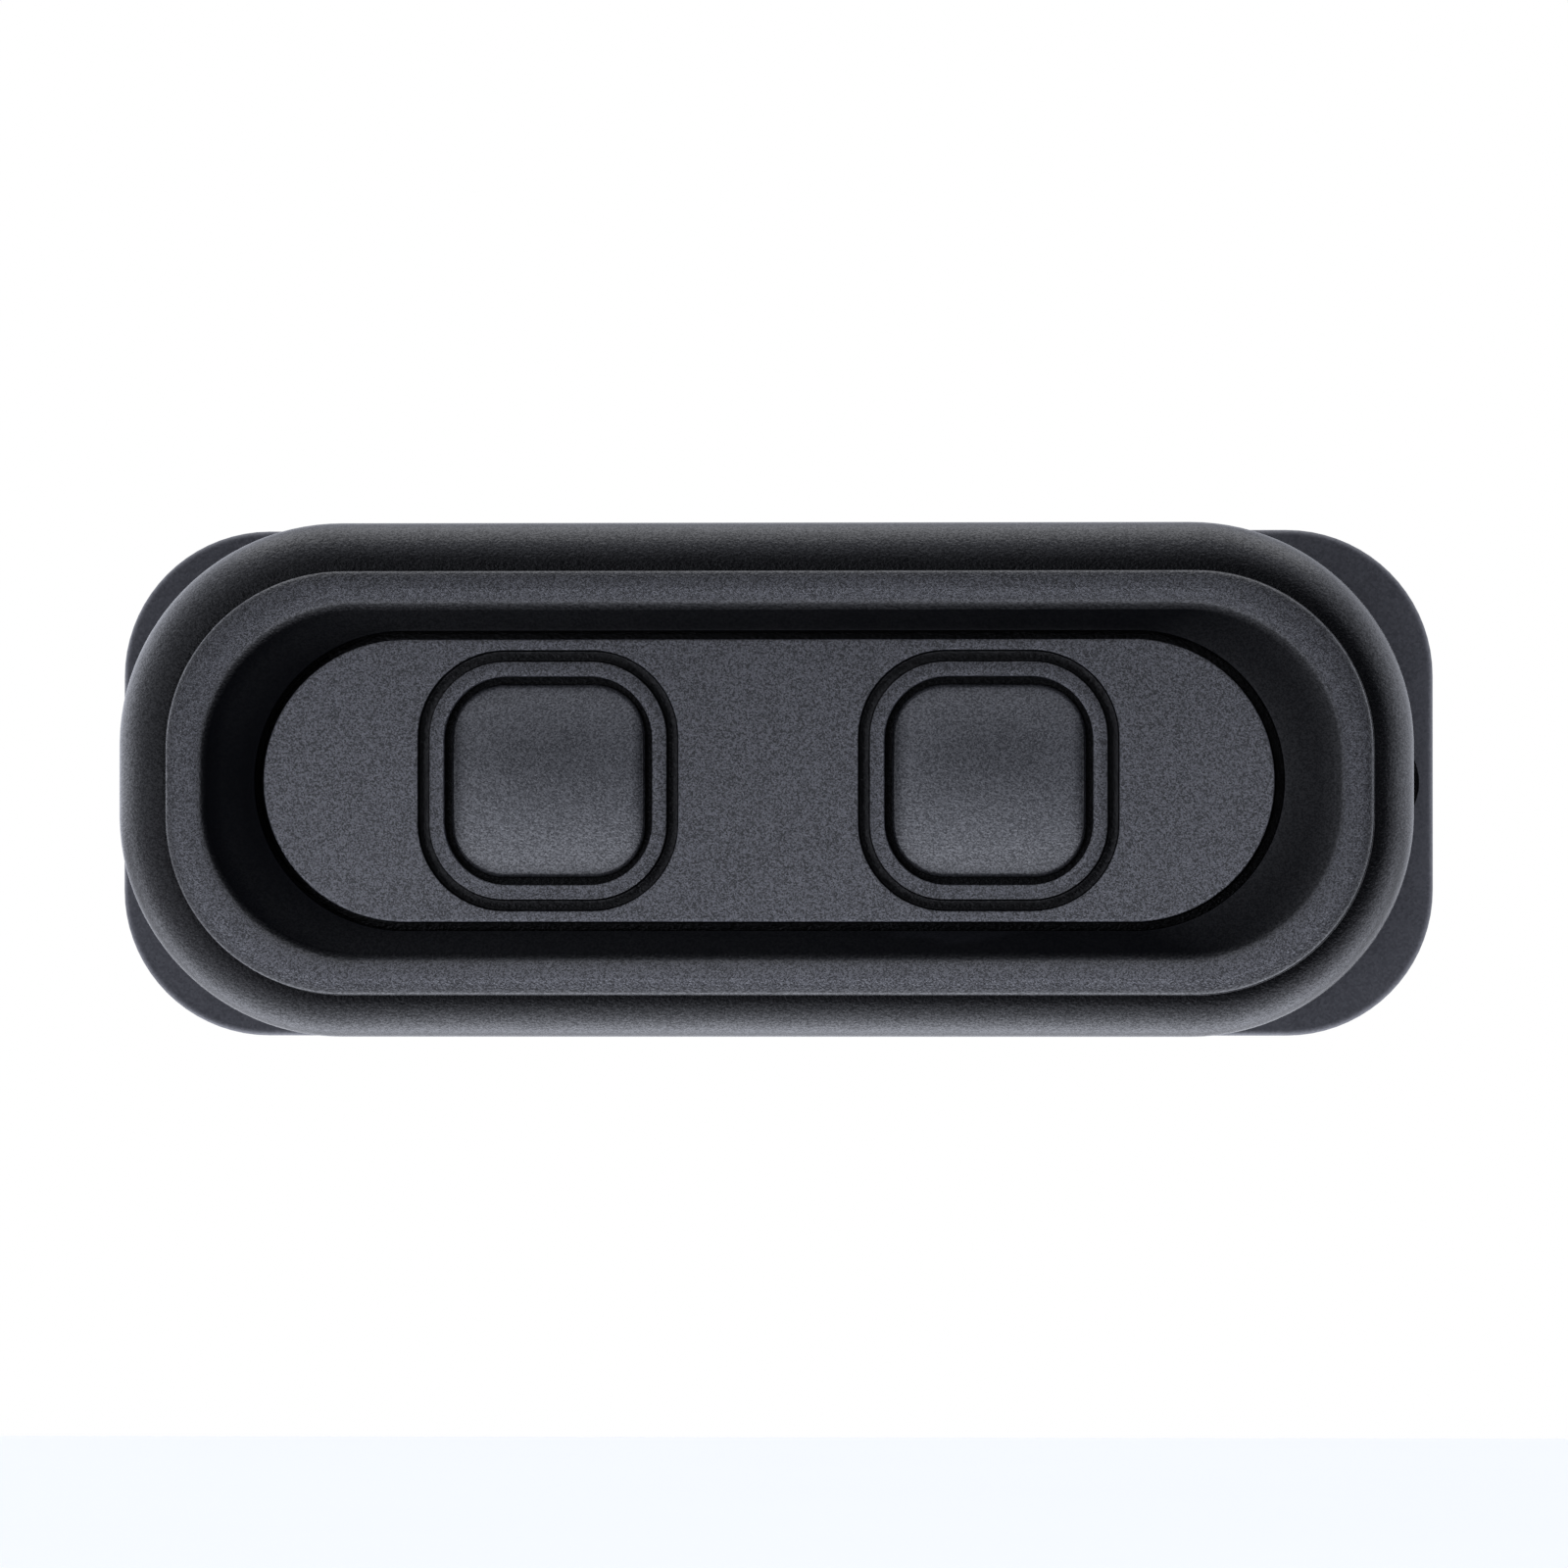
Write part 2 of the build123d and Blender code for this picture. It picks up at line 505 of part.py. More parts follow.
SUPPRESSOR_Z, SUPPRESSOR_H = 9.0, 2.0
with BuildPart() as surge_suppressor:
    with BuildSketch(at(BOARD_BACK - SLIP)):
        with Locations((0, SUPPRESSOR_Z)):
            Rectangle(4.3, 2.6)
    extrude(amount=-SUPPRESSOR_H)
    chamfer(surge_suppressor.faces().sort_by(Axis.Y)[-1].edges(), 0.25)
    with BuildSketch(at(BOARD_BACK - SLIP)):
        with Locations((0, SUPPRESSOR_Z)):
            Rectangle(5.4, 1.5)
    extrude(amount=-LEG_T)
save(surge_suppressor, "surge_suppressor")

REGULATOR_Z, REGULATOR_H = -9.0, 1.6
with BuildPart() as voltage_regulator:
    with BuildSketch(at(BOARD_BACK - SLIP)):
        with Locations((0, REGULATOR_Z)):
            Rectangle(6.5, 3.5)
    extrude(amount=-REGULATOR_H)
    chamfer(voltage_regulator.faces().sort_by(Axis.Y)[-1].edges(), 0.25)
    with BuildSketch(at(BOARD_BACK - SLIP)):
        with Locations((0, REGULATOR_Z)):
            Rectangle(3.0, 6.6)
            with GridLocations(2.3, 0, 3, 1):
                with Locations((0, -1.7)):
                    Rectangle(0.7, 3.2)
    extrude(amount=-LEG_T)
save(voltage_regulator, "voltage_regulator")


# ---- moving pieces and rubber domes, one set for each key
CAP_BACK = 14.5
KEY_FLANGE, KEY_FLANGE_R, KEY_FLANGE_TOP = 17.4, 5.2, 15.5
CAP_EDGE_R = 0.35
CROWN_BEND_R = 26.0  # the cap is arched from its top edge to its bottom edge
TUBE_R, TUBE_BORE_R, TUBE_END = 6.6, COLLAR_R + 0.06, 12.5
STEM_R = 2.9
DOME_FOOT_R, CROWN_R, CROWN_BACK, CROWN_FRONT = 3.9, 3.0, 12.1, 13.4
PILL_R, PILL_BACK, PILL_FRONT = 1.9, 11.46, 12.06


def build_button(x):
    """An arched cap on a retaining flange, with a guide tube and a stem behind it."""
    with BuildPart() as button:
        with BuildSketch(at(CAP_BACK)):
            with Locations((x, 0)):
                RectangleRounded(CAP, CAP, CAP_R)
        extrude(amount=CAP_TOP - CAP_BACK)
        with Locations((x, CROWN_BEND_R - CAP_TOP, 0)):
            Cylinder(CROWN_BEND_R, CAP, rotation=(0, 90, 0), mode=Mode.INTERSECT)
        fillet(front_edges(button), CAP_EDGE_R)
        with BuildSketch(at(CAP_BACK)):
            with Locations((x, 0)):
                RectangleRounded(KEY_FLANGE, KEY_FLANGE, KEY_FLANGE_R)
        extrude(amount=KEY_FLANGE_TOP - CAP_BACK)
        with BuildSketch(at(TUBE_END)):
            with Locations((x, 0)):
                Circle(TUBE_R)
                Circle(TUBE_BORE_R, mode=Mode.SUBTRACT)
        extrude(amount=CAP_BACK - TUBE_END)
        with BuildSketch(at(STEM_END)):
            with Locations((x, 0)):
                Circle(STEM_R)
        extrude(amount=CAP_BACK - STEM_END)
    return button


def build_dome(x):
    """A silicone dome: flange, thin cone and thick crown, hollow underneath."""
    with BuildPart() as dome:
        with BuildSketch(at(BOARD_FRONT + 0.02)):
            with Locations((x, 0)):
                Circle(DOME_FLANGE_R)
        extrude(amount=DOME_FLANGE_FRONT - BOARD_FRONT - 0.02)
        with BuildSketch(at(DOME_FLANGE_FRONT)):
            with Locations((x, 0)):
                Circle(DOME_FOOT_R)
        with BuildSketch(at(CROWN_BACK)):
            with Locations((x, 0)):
                Circle(CROWN_R)
        loft()
        with BuildSketch(at(CROWN_BACK)):
            with Locations((x, 0)):
                Circle(CROWN_R)
        extrude(amount=CROWN_FRONT - CROWN_BACK)
        with BuildSketch(at(BOARD_FRONT)):
            with Locations((x, 0)):
                Circle(DOME_FOOT_R - 0.5)
        with BuildSketch(at(CROWN_BACK)):
            with Locations((x, 0)):
                Circle(CROWN_R - 0.7)
        loft(mode=Mode.SUBTRACT)
    return dome


def build_pill(x):
    """The carbon contact under a dome's crown."""
    with BuildPart() as pill:
        with BuildSketch(at(PILL_BACK)):
            with Locations((x, 0)):
                Circle(PILL_R)
        extrude(amount=PILL_FRONT - PILL_BACK)
    return pill


for side, key_x in (("left", -KEY_PITCH / 2), ("right", KEY_PITCH / 2)):
    save(build_button(key_x), f"{side}_button")
    save(build_dome(key_x), f"{side}_dome")
    save(build_pill(key_x), f"{side}_contact_pill")
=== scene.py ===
import json
import math

import bmesh
import bpy
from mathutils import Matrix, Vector


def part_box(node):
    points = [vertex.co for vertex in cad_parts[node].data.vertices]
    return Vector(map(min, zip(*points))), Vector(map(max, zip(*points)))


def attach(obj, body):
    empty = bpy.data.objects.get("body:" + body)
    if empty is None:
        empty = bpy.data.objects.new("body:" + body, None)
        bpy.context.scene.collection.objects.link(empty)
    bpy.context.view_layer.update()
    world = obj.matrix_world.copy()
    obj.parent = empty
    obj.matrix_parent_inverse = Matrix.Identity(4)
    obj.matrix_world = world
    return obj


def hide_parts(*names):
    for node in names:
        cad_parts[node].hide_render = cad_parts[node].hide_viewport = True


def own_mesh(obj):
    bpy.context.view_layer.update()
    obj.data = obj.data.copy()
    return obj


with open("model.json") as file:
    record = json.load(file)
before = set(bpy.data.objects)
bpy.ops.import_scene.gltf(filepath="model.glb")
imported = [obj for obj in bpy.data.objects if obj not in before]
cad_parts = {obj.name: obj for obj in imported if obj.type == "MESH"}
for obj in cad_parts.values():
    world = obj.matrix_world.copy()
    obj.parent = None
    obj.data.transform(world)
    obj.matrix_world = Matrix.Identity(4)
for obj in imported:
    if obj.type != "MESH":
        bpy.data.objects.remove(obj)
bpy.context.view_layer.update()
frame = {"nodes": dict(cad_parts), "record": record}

# The pedestrian push-button unit: X runs along it, Z is up, the front faces -Y, the wall is Y = 0.
# Shapes are worked out in millimetres, as a height out from the wall and a place across it.

MM = 0.001


# ------------------------------------------------------------------ places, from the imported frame
def size_mm(node):
    """Length, width, lowest and highest height of a CAD node."""
    low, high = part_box(node)
    return (high.x - low.x) / MM, (high.z - low.z) / MM, -high.y / MM, -low.y / MM


def middle_mm(node):
    low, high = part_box(node)
    return (low.x + high.x) / 2 / MM, (low.z + high.z) / 2 / MM


BEZEL_L, BEZEL_W, BEZEL_BASE, BAND_TOP = size_mm("bezel")
FLANGE_L, FLANGE_W, PANEL_FEET, PANEL_TOP = size_mm("face_panel")
KEY_FLANGE, _, TUBE_END, CAP_TOP = size_mm("left_button")
DOME_FLANGE, _, DOME_BASE, CROWN_TOP = size_mm("left_dome")
BOARD_FRONT = size_mm("circuit_board")[3]
OUTLINE_X, OUTLINE_Z = middle_mm("bezel")  # the outer outline sits a little off the panel's middle
KEY_X = {"left": middle_mm("left_button")[0], "right": middle_mm("right_button")[0]}

# ------------------------------------------------------------------ dimensions of the moulded shapes, mm
# bezel: its side and the quarter-round that rolls in to the crease
BEZEL_R = 17.2
WIDEST = 11.8  # height of the widest line
TUCK = 1.55  # how far the side leans in towards the plate
ROLL_R = 3.35
CREASE, CREASE_INSET = BAND_TOP - 2.6, 3.52

# bezel: the raised band inside the crease
BAND_WALL = CREASE_INSET + 0.04
WALL_TOP = ((0.0, 0.56), (0.02, 0.43), (0.07, 0.33))  # distance in from the wall, drop
SHOULDER_INSET = BAND_WALL + 0.16
SHOULDER_L, SHOULDER_H = 1.50, 0.78  # half axes of its elliptical shoulder
SHOULDER_START = 138  # degrees round the ellipse
BAND_L, BAND_W, BAND_R, BAND_Z = 87.7, 27.5, 12.9, -0.15  # the band's inner line
TOP_MARGIN = 1.3  # how far outside that line the flat top ends
EDGE_X, EDGE_Z, EDGE_R = 0.10, -0.05, 12.2  # the band's inner edge: its middle and its corners
# That edge is a soft slope down to the moat: distance in from the band's inner line, drop, grain.
INNER_EDGE = (
    (-1.25, 0.01, 1.0),
    (-1.00, 0.05, 1.0),
    (-0.77, 0.13, 1.0),
    (-0.57, 0.25, 1.0),
    (-0.39, 0.38, 0.95),
    (-0.23, 0.50, 0.7),
    (-0.11, 0.59, 0.4),
    (0.01, 0.66, 0.16),
    (0.15, 0.72, 0.0),
    (0.35, 0.77, -0.5),
    (0.60, 0.79, -1.0),
)

# bezel: the moat falls from the foot of that slope to the mouth that the panel fills
MOUTH_L, MOUTH_W, MOUTH_TOP = 79.0, 23.0, 16.65
MOAT_FALL = ((0.3, 0.28), (0.6, 0.58), (0.9, 0.88), (0.985, 1.0))  # share of the way in, share of the fall
MOUTH_CHAMFER, POLISH_END = 0.12, 0.6  # drops below the mouth's edge

# bezel, inside: heights, then outlines as length, width and corner radius
CEILING, LEDGE, GROOVE_TOP = 12.2, 6.4, 15.4
GROOVE_INNER, GROOVE_OUTER = (86.4, 27.8, 13.0), (90.0, 29.8, 14.0)  # the groove that thins the band
CAVITY = (92.0, 31.6, 13.3)
COVER_SEAT = (94.2, 33.8, 14.4)
BOSS_R, BOSS_BORE_R, BOSS_END, BOSS_CHAMFER = 1.8, 0.8, 14.3, 0.15
BOARD_GAP = 0.05
SCREW_HEAD_R = {"cover_screws": 2.02, "board_screws": 1.9}

# panel
PANEL_L, PANEL_W, PANEL_UNDER = 77.6, 21.7, 15.6
PANEL_EDGE, SKIRT_T = 0.28, 1.5
EDGE_GRAIN = (1.0, 1.0, 1.0, 0.8, 0.5, 0.2, 0.0, 0.0)  # the texture fades out round the panel's edge
FLANGE_FRONT, FLANGE_BACK = 11.8, 10.7
APERTURE, APERTURE_R = 16.0, 4.85
RING, RING_R, RING_WIDTH, RING_DEPTH, RING_LIP = 20.0, 6.7, 0.88, 1.15, 0.10  # the groove round each key
FOOT, FOOT_X, FOOT_Z = 1.8, (-20, 0, 20), (-11.9, 11.9)

# key
CAP, CAP_R, CAP_EDGE, CAP_BACK = 14.85, 4.0, 0.35, 14.5
BEND_R = 26.0  # the cap is arched from its top edge to its bottom edge
SIDE_FALL = 0.15  # and falls away a little to its left and right edges
KEY_SHADE, KEY_SHADE_Z, KEY_SHADE_REACH, KEY_SHADE_SPREAD = 0.32, 2.2, 3.2, 2.2  # painted shade: a darker, smoother spot in the upper middle of the cap
EDGE_SHADE_WIDTH, EDGE_SHADE = 1.2, 0.9  # painted shade: darker, smoother strips along the left and right edges
CAP_EDGE_GRAIN = (1.0,) * 6 + (0.6, 0.3, 0.0)  # the texture fades out round the cap's edge
KEY_FLANGE_TOP, KEY_FLANGE_R = 15.5, 5.2
TUBE_R, TUBE_BORE_R = 6.6, 5.56
STEM_R, STEM_END = 2.9, CROWN_TOP + 0.02

# dome
CROWN_R, CONE_TOP = 3.0, CROWN_TOP - 1.3
DOME_FLANGE_TOP = DOME_BASE + 0.68
CONE_FLARE, CONE_POWER, CONE_FOOT_R = 0.9, 1.6, 4.1
BORE_R, BORE_FLARE, BORE_POWER = 2.3, 1.1, 1.4


# ------------------------------------------------------------------ mesh tools
def loop(length, width, radius, height, x=0.0, z=0.0, end=30, side=10):
    """Points round a rounded rectangle at one height, with so many on each quarter's end and side.

    Loops with the same counts match, point for point.
    """
    half_l, half_w = length / 2, width / 2
    radius = min(radius, half_w)
    straight = half_w - radius
    run = straight + math.pi / 2 * radius
    corner = []
    for k in range(end):
        s = run * k / end
        if s < straight:
            corner.append((half_l, s))
        else:
            a = (s - straight) / radius
            corner.append((half_l - radius + radius * math.cos(a), straight + radius * math.sin(a)))
    corner += [((half_l - radius) * (1 - k / side), half_w) for k in range(side)]
    back = list(reversed(corner[1:] + [(0.0, half_w)]))
    quarters = [
        corner,
        [(-px, pz) for px, pz in back],
        [(-px, -pz) for px, pz in corner],
        [(px, -pz) for px, pz in back],
    ]
    return [Vector(((x + px) * MM, -height * MM, (z + pz) * MM)) for q in quarters for px, pz in q]


def between(first, second, share, height):
    """A loop part of the way between two outlines given as (length, width, radius, x, z)."""
    length, width, radius, x, z = (a + (b - a) * share for a, b in zip(first, second))
    return loop(length, width, radius, height, x=x, z=z)


def arc(centre, radius, start, stop, steps):
    """Points (inset, height) on an arc, angles in degrees."""
    out = []
    for k in range(steps + 1):
        a = math.radians(start + (stop - start) * k / steps)
        out.append((centre[0] + radius * math.cos(a), centre[1] + radius * math.sin(a)))
    return out


def evenly(loops, grain):
    """A section whose loops all have the same grain."""
    return [(points, grain) for points in loops]


SHARP_ANGLE = 40  # degrees; edges that turn more stay sharp


class Shell:
    """A closed skin put together from matching loops. Its attribute grain tells the finish."""

    def __init__(self):
        self.mesh = bmesh.new()
        self.grain = self.mesh.verts.layers.float.new("grain")

    def ring(self, points, grain):
        made = [self.mesh.verts.new(p) for p in points]
        for v in made:
            v[self.grain] = grain
        return made

    def bridge(self, first, second):
        n = len(first)
        for k in range(n):
            self.mesh.faces.new((first[k], first[(k + 1) % n], second[(k + 1) % n], second[k]))

    def stack(self, section, closed=False):
        """Joins a section, a list of (loop, grain), in turn and returns its first and last rings."""
        rings = [self.ring(points, grain) for points, grain in section]
        for a, b in zip(rings, rings[1:]):
            self.bridge(a, b)
        if closed:
            self.bridge(rings[-1], rings[0])
        return rings[0], rings[-1]

    def cap(self, ring, grain=1.0):
        """Closes a ring with a fan to its middle."""
        middle = sum((v.co for v in ring), Vector()) / len(ring)
        centre = self.ring([middle], grain)[0]
        for a, b in zip(ring, ring[1:] + ring[:1]):
            self.mesh.faces.new((a, b, centre))

    def fill(self, *rings):
        """Fills the flat area between rings: the first is the outline, the others are holes in it."""
        edges = []
        for ring in rings:
            for a, b in zip(ring, ring[1:] + ring[:1]):
                edges.append(self.mesh.edges.get((a, b)) or self.mesh.edges.new((a, b)))
        bmesh.ops.triangle_fill(self.mesh, edges=edges, use_beauty=True)

    def build(self, name, body, slot):
        """The finished piece, riding on a body, in the material of a slot."""
        bmesh.ops.recalc_face_normals(self.mesh, faces=self.mesh.faces)
        data = bpy.data.meshes.new(name)
        self.mesh.to_mesh(data)
        self.mesh.free()
        data.shade_smooth()
        data.set_sharp_from_angle(angle=math.radians(SHARP_ANGLE))
        data.materials.append(FINISHES[slot])
        piece = bpy.data.objects.new(name, data)
        bpy.context.scene.collection.objects.link(piece)
        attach(piece, body)
        return piece


# ------------------------------------------------------------------ material tools
MOST = (0.3, 0.7)  # most of a noise's values lie between these


class Finish:
    """A node material in object coordinates, so that its grain has a real size."""

    def __init__(self, name, colour, roughness, metallic=0.0, specular=0.5):
        self.material = bpy.data.materials.new(name)
        self.material.use_nodes = True
        self.tree = self.material.node_tree
        self.shader = self.tree.nodes["Principled BSDF"]
        self.shader.inputs["Base Color"].default_value = (*colour, 1)
        self.shader.inputs["Roughness"].default_value = roughness
        self.shader.inputs["Metallic"].default_value = metallic
        self.shader.inputs["Specular IOR Level"].default_value = specular
        self.colour = colour
        self.place = self.node("ShaderNodeTexCoord").outputs["Object"]

    def node(self, kind, **values):
        made = self.tree.nodes.new(kind)
        for key, value in values.items():
            setattr(made, key, value)
        return made

    def link(self, source, target):
        self.tree.links.new(source, target)

    def stretched(self, scale):
        """Object coordinates stretched by scale along X, Y and Z."""
        mapping = self.node("ShaderNodeMapping")
        mapping.inputs["Scale"].default_value = scale
        self.link(self.place, mapping.inputs["Vector"])
        return mapping.outputs["Vector"]

    def noise(self, size_mm, detail=2.0, roughness=0.5, vector=None, distortion=0.0):
        """Noise whose features are about size_mm across."""
        made = self.node("ShaderNodeTexNoise")
        made.inputs["Scale"].default_value = 1 / (size_mm * MM)
        made.inputs["Detail"].default_value = detail
        made.inputs["Roughness"].default_value = roughness
        made.inputs["Distortion"].default_value = distortion
        self.link(vector or self.place, made.inputs["Vector"])
        return made.outputs["Fac"]

    def cells(self, size_mm):
        """Distance from the middles of rounded cells about size_mm apart."""
        made = self.node("ShaderNodeTexVoronoi", feature="SMOOTH_F1")
        made.inputs["Scale"].default_value = 1 / (size_mm * MM)
        made.inputs["Smoothness"].default_value = 0.6
        self.link(self.place, made.inputs["Vector"])
        return made.outputs["Distance"]

    def facets(self, size_mm):
        """A random level for each cell of a fine mosaic."""
        mosaic = self.node("ShaderNodeTexVoronoi")
        mosaic.inputs["Scale"].default_value = 1 / (size_mm * MM)
        self.link(self.place, mosaic.inputs["Vector"])
        level = self.node("ShaderNodeSeparateColor")
        self.link(mosaic.outputs["Color"], level.inputs["Color"])
        return level.outputs["Red"]

    def remap(self, source, low, high, to_low, to_high):
        """Takes low to to_low and high to to_high, and stays level beyond them."""
        made = self.node("ShaderNodeMapRange")
        self.link(source, made.inputs["Value"])
        for key, value in zip(("From Min", "From Max", "To Min", "To Max"), (low, high, to_low, to_high)):
            made.inputs[key].default_value = value
        return made.outputs["Result"]

    def math(self, operation, a, b):
        made = self.node("ShaderNodeMath", operation=operation)
        for socket, value in zip(made.inputs, (a, b)):
            if isinstance(value, (int, float)):
                socket.default_value = value
            else:
                self.link(value, socket)
        return made.outputs["Value"]

    def product(self, first, *others):
        for other in others:
            first = self.math("MULTIPLY", first, other)
        return first

    def mixed(self, share, first, second):
        """A value that goes from first to second as share goes from 0 to 1."""
        mix = self.node("ShaderNodeMix", data_type="FLOAT")
        for socket, value in zip((mix.inputs[0], mix.inputs[2], mix.inputs[3]), (share, first, second)):
            self.link(value, socket)
        return mix.outputs[0]

    def tint(self, share, other):
        """Mixes the base colour towards another one, by a share that varies over the surface."""
        mix = self.node("ShaderNodeMix", data_type="RGBA")
        mix.inputs[6].default_value = (*self.colour, 1)
        mix.inputs[7].default_value = (*other, 1)
        self.link(share, mix.inputs[0])
        self.link(mix.outputs[2], self.shader.inputs["Base Color"])

    def rough(self, source):
        self.link(source, self.shader.inputs["Roughness"])

    def bump(self, height, depth_um, under=None):
        """Relief of this depth; under is the bump that it lies on."""
        made = self.node("ShaderNodeBump")
        made.inputs["Distance"].default_value = depth_um * 1e-6
        made.inputs["Strength"].default_value = 1.0
        self.link(height, made.inputs["Height"])
        if under is not None:
            self.link(under, made.inputs["Normal"])
        self.link(made.outputs["Normal"], self.shader.inputs["Normal"])
        return made.outputs["Normal"]

    def wear(self, amount):
        """A share that rises on sharp outer edges."""
        edge = self.node("ShaderNodeNewGeometry").outputs["Pointiness"]
        return self.remap(edge, 0.51, 0.58, 0.0, amount)


# ------------------------------------------------------------------ the black plastic that shows
BLACK = (0.0018, 0.0020, 0.0027)
FACET = 0.10  # size of the grain's facets, mm
SATIN_DEPTH = 36  # micrometres
SATIN_ROUGHNESS = (0.22, 0.27)
# spans of the painted light: up the unit, over its left end and over its right end
PAINTED_LIGHT_Z = (-12 * MM, 12 * MM)
LEFT_END, RIGHT_END = (-36 * MM, -12 * MM), (30 * MM, 46 * MM)


def coarse_relief(finish):
    """The spark-eroded grain: blobs an eighth of a millimetre across over a pattern of rounded cells."""
    blobs = finish.noise(0.12, detail=2.0, roughness=0.6)
    return finish.math("ADD", blobs, finish.math("MULTIPLY", finish.cells(0.15), -0.5))


def satin_relief(finish):
    """The fine leathery satin: low ripples, longer along X than across."""
    return finish.noise(0.19, vector=finish.stretched((0.7, 1.0, 1.0)), distortion=0.4)


def textured_finish(
    name, relief, depth_um, rough, gloss, paler, speckle, painted_light_below=1.0, ends=(1.0, 1.0), ior=1.5
):
    """Black plastic by its attribute grain: textured and greyer at 1, dark satin at 0, polished at -1.

    The texture is a relief with a depth and a range of roughness. Gloss is the specular level of the
    satin and of the texture, paler the texture's grey, and speckle how far its facets vary. Painted light
    is laid on the texture's grey and specular level: raised by painted_light_below at the bottom edge,
    lowered by its inverse at the top, and scaled by ends at the left and the right.
    """
    f = Finish(name, BLACK, 0.4)
    f.shader.inputs["IOR"].default_value = ior
    grain = f.node("ShaderNodeAttribute", attribute_name="grain").outputs["Fac"]
    textured = f.math("MAXIMUM", grain, 0.0)
    texture = relief(f)
    cloud = f.noise(8.0, detail=3.0)
    facets = f.remap(f.facets(FACET), 0.2, 0.8, 0.0, 1.0)

    satin = f.math("SUBTRACT", 1.0, f.math("MULTIPLY", grain, grain))
    ripples = f.bump(f.product(satin_relief(f), satin), SATIN_DEPTH)
    f.bump(f.product(texture, textured), depth_um, under=ripples)

    polish = f.remap(grain, -1.0, 0.0, 0.5, 1.0)
    smooth = f.product(f.remap(cloud, *MOST, *SATIN_ROUGHNESS), polish)
    f.rough(f.mixed(textured, smooth, f.remap(texture, 0.2, 0.6, *rough)))

    # painted light: the texture's grey and gloss are lifted towards the bottom, lowered towards the top, and
    # scaled at the two ends
    place = f.node("ShaderNodeSeparateXYZ")
    f.link(f.place, place.inputs["Vector"])
    painted_light = f.product(
        f.remap(place.outputs["Z"], *PAINTED_LIGHT_Z, painted_light_below, 1 / painted_light_below),
        f.remap(place.outputs["X"], *LEFT_END, ends[0], 1.0),
        f.remap(place.outputs["X"], *RIGHT_END, 1.0, ends[1]),
    )
    painted_light = f.math("ADD", f.product(textured, f.math("SUBTRACT", painted_light, 1.0)), 1.0)

    # single facets of the grain catch more or less of the light; the specular level also carries the painted
    # light
    glint = f.product(f.remap(textured, 0.0, 1.0, *gloss), f.remap(facets, 0.0, 1.0, 0.65, 1.35))
    f.link(f.product(glint, painted_light), f.shader.inputs["Specular IOR Level"])
    # the texture's grey: random mottle times the painted light, plus worn edges
    mottle = f.product(f.remap(cloud, *MOST, 0.92, 1.04), f.remap(facets, 0.0, 1.0, *speckle))
    f.tint(f.math("ADD", f.product(textured, 0.5, mottle, painted_light), f.wear(0.05)), paler)
    return f.material


def bezel_finish():
    return textured_finish(
        "bezel_moulding",
        coarse_relief,
        depth_um=98,
        rough=(0.44, 0.54),
        gloss=(0.5, 1.0),
        paler=(0.0535, 0.0550, 0.0690),
        speckle=(0.25, 1.75),
        # painted light: brighter towards the bottom, darker towards the top and at both ends
        painted_light_below=1.3,
        ends=(0.92, 0.72),
    )


def panel_finish():
    return textured_finish(
        "panel_moulding",
        coarse_relief,
        depth_um=98,
        rough=(0.44, 0.54),
        gloss=(0.5, 0.93),
        paler=(0.0525, 0.0540, 0.0675),
        speckle=(0.10, 1.90),
        # painted light: brighter towards the bottom and at both ends, darker towards the top
        painted_light_below=1.22,
        ends=(1.15, 1.05),
    )


def key_finish():
    return textured_finish(
        "key_moulding",
        satin_relief,
        depth_um=40,
        rough=(0.30, 0.38),
        gloss=(0.15, 1.08),
        paler=(0.1020, 0.1050, 0.1180),
        speckle=(0.55, 1.45),
        ior=1.75,
    )


# ------------------------------------------------------------------ the other materials
def plate_finish():
    """Smoother black plastic, chalky from the weather."""
    f = Finish("plate_moulding", (0.045, 0.0455, 0.053), 0.5)
    cloud = f.noise(12.0, detail=4.0)
    f.bump(f.noise(0.18), 12)
    f.rough(f.remap(cloud, *MOST, 0.44, 0.54))
    mottle = f.math("ADD", f.remap(cloud, 0.35, 0.75, 0.0, 0.3), f.remap(f.facets(0.17), 0.0, 1.0, 0.0, 0.8))
    f.tint(f.math("ADD", mottle, f.wear(0.4)), (0.085, 0.086, 0.096))
    return f.material


def foam_finish():
    f = Finish("gasket_foam", (0.022, 0.022, 0.023), 0.9, specular=0.3)
    cells = f.cells(0.5)
    f.bump(cells, 120)
    f.rough(f.remap(cells, 0.0, 0.6, 0.8, 0.97))
    f.tint(f.remap(f.noise(3.0, detail=4.0), 0.35, 0.7, 0.0, 1.0), (0.036, 0.036, 0.038))
    return f.material


def rubber_finish(name, colour, worn):
    """Moulded silicone: a soft bloom over a faintly uneven skin."""
    f = Finish(name, colour, 0.6, specular=0.4)
    bloom = f.noise(1.6, detail=5.0)
    f.bump(f.noise(0.25), 12)
    f.rough(f.remap(bloom, *MOST, 0.5, 0.72))
    f.tint(f.remap(bloom, 0.4, 0.75, 0.0, 1.0), worn)
    return f.material


def moulded_finish(name, colour, worn, roughness):
    """A plain injection-moulded plastic with faint flow marks and a fine skin."""
    f = Finish(name, colour, roughness)
    flow = f.noise(2.5, detail=3.0, vector=f.stretched((0.4, 1.0, 1.0)))
    f.bump(f.noise(0.12), 4)
    f.rough(f.remap(flow, *MOST, roughness - 0.06, roughness + 0.08))
    f.tint(f.math("ADD", f.remap(flow, 0.35, 0.75, 0.0, 0.6), f.wear(0.5)), worn)
    return f.material


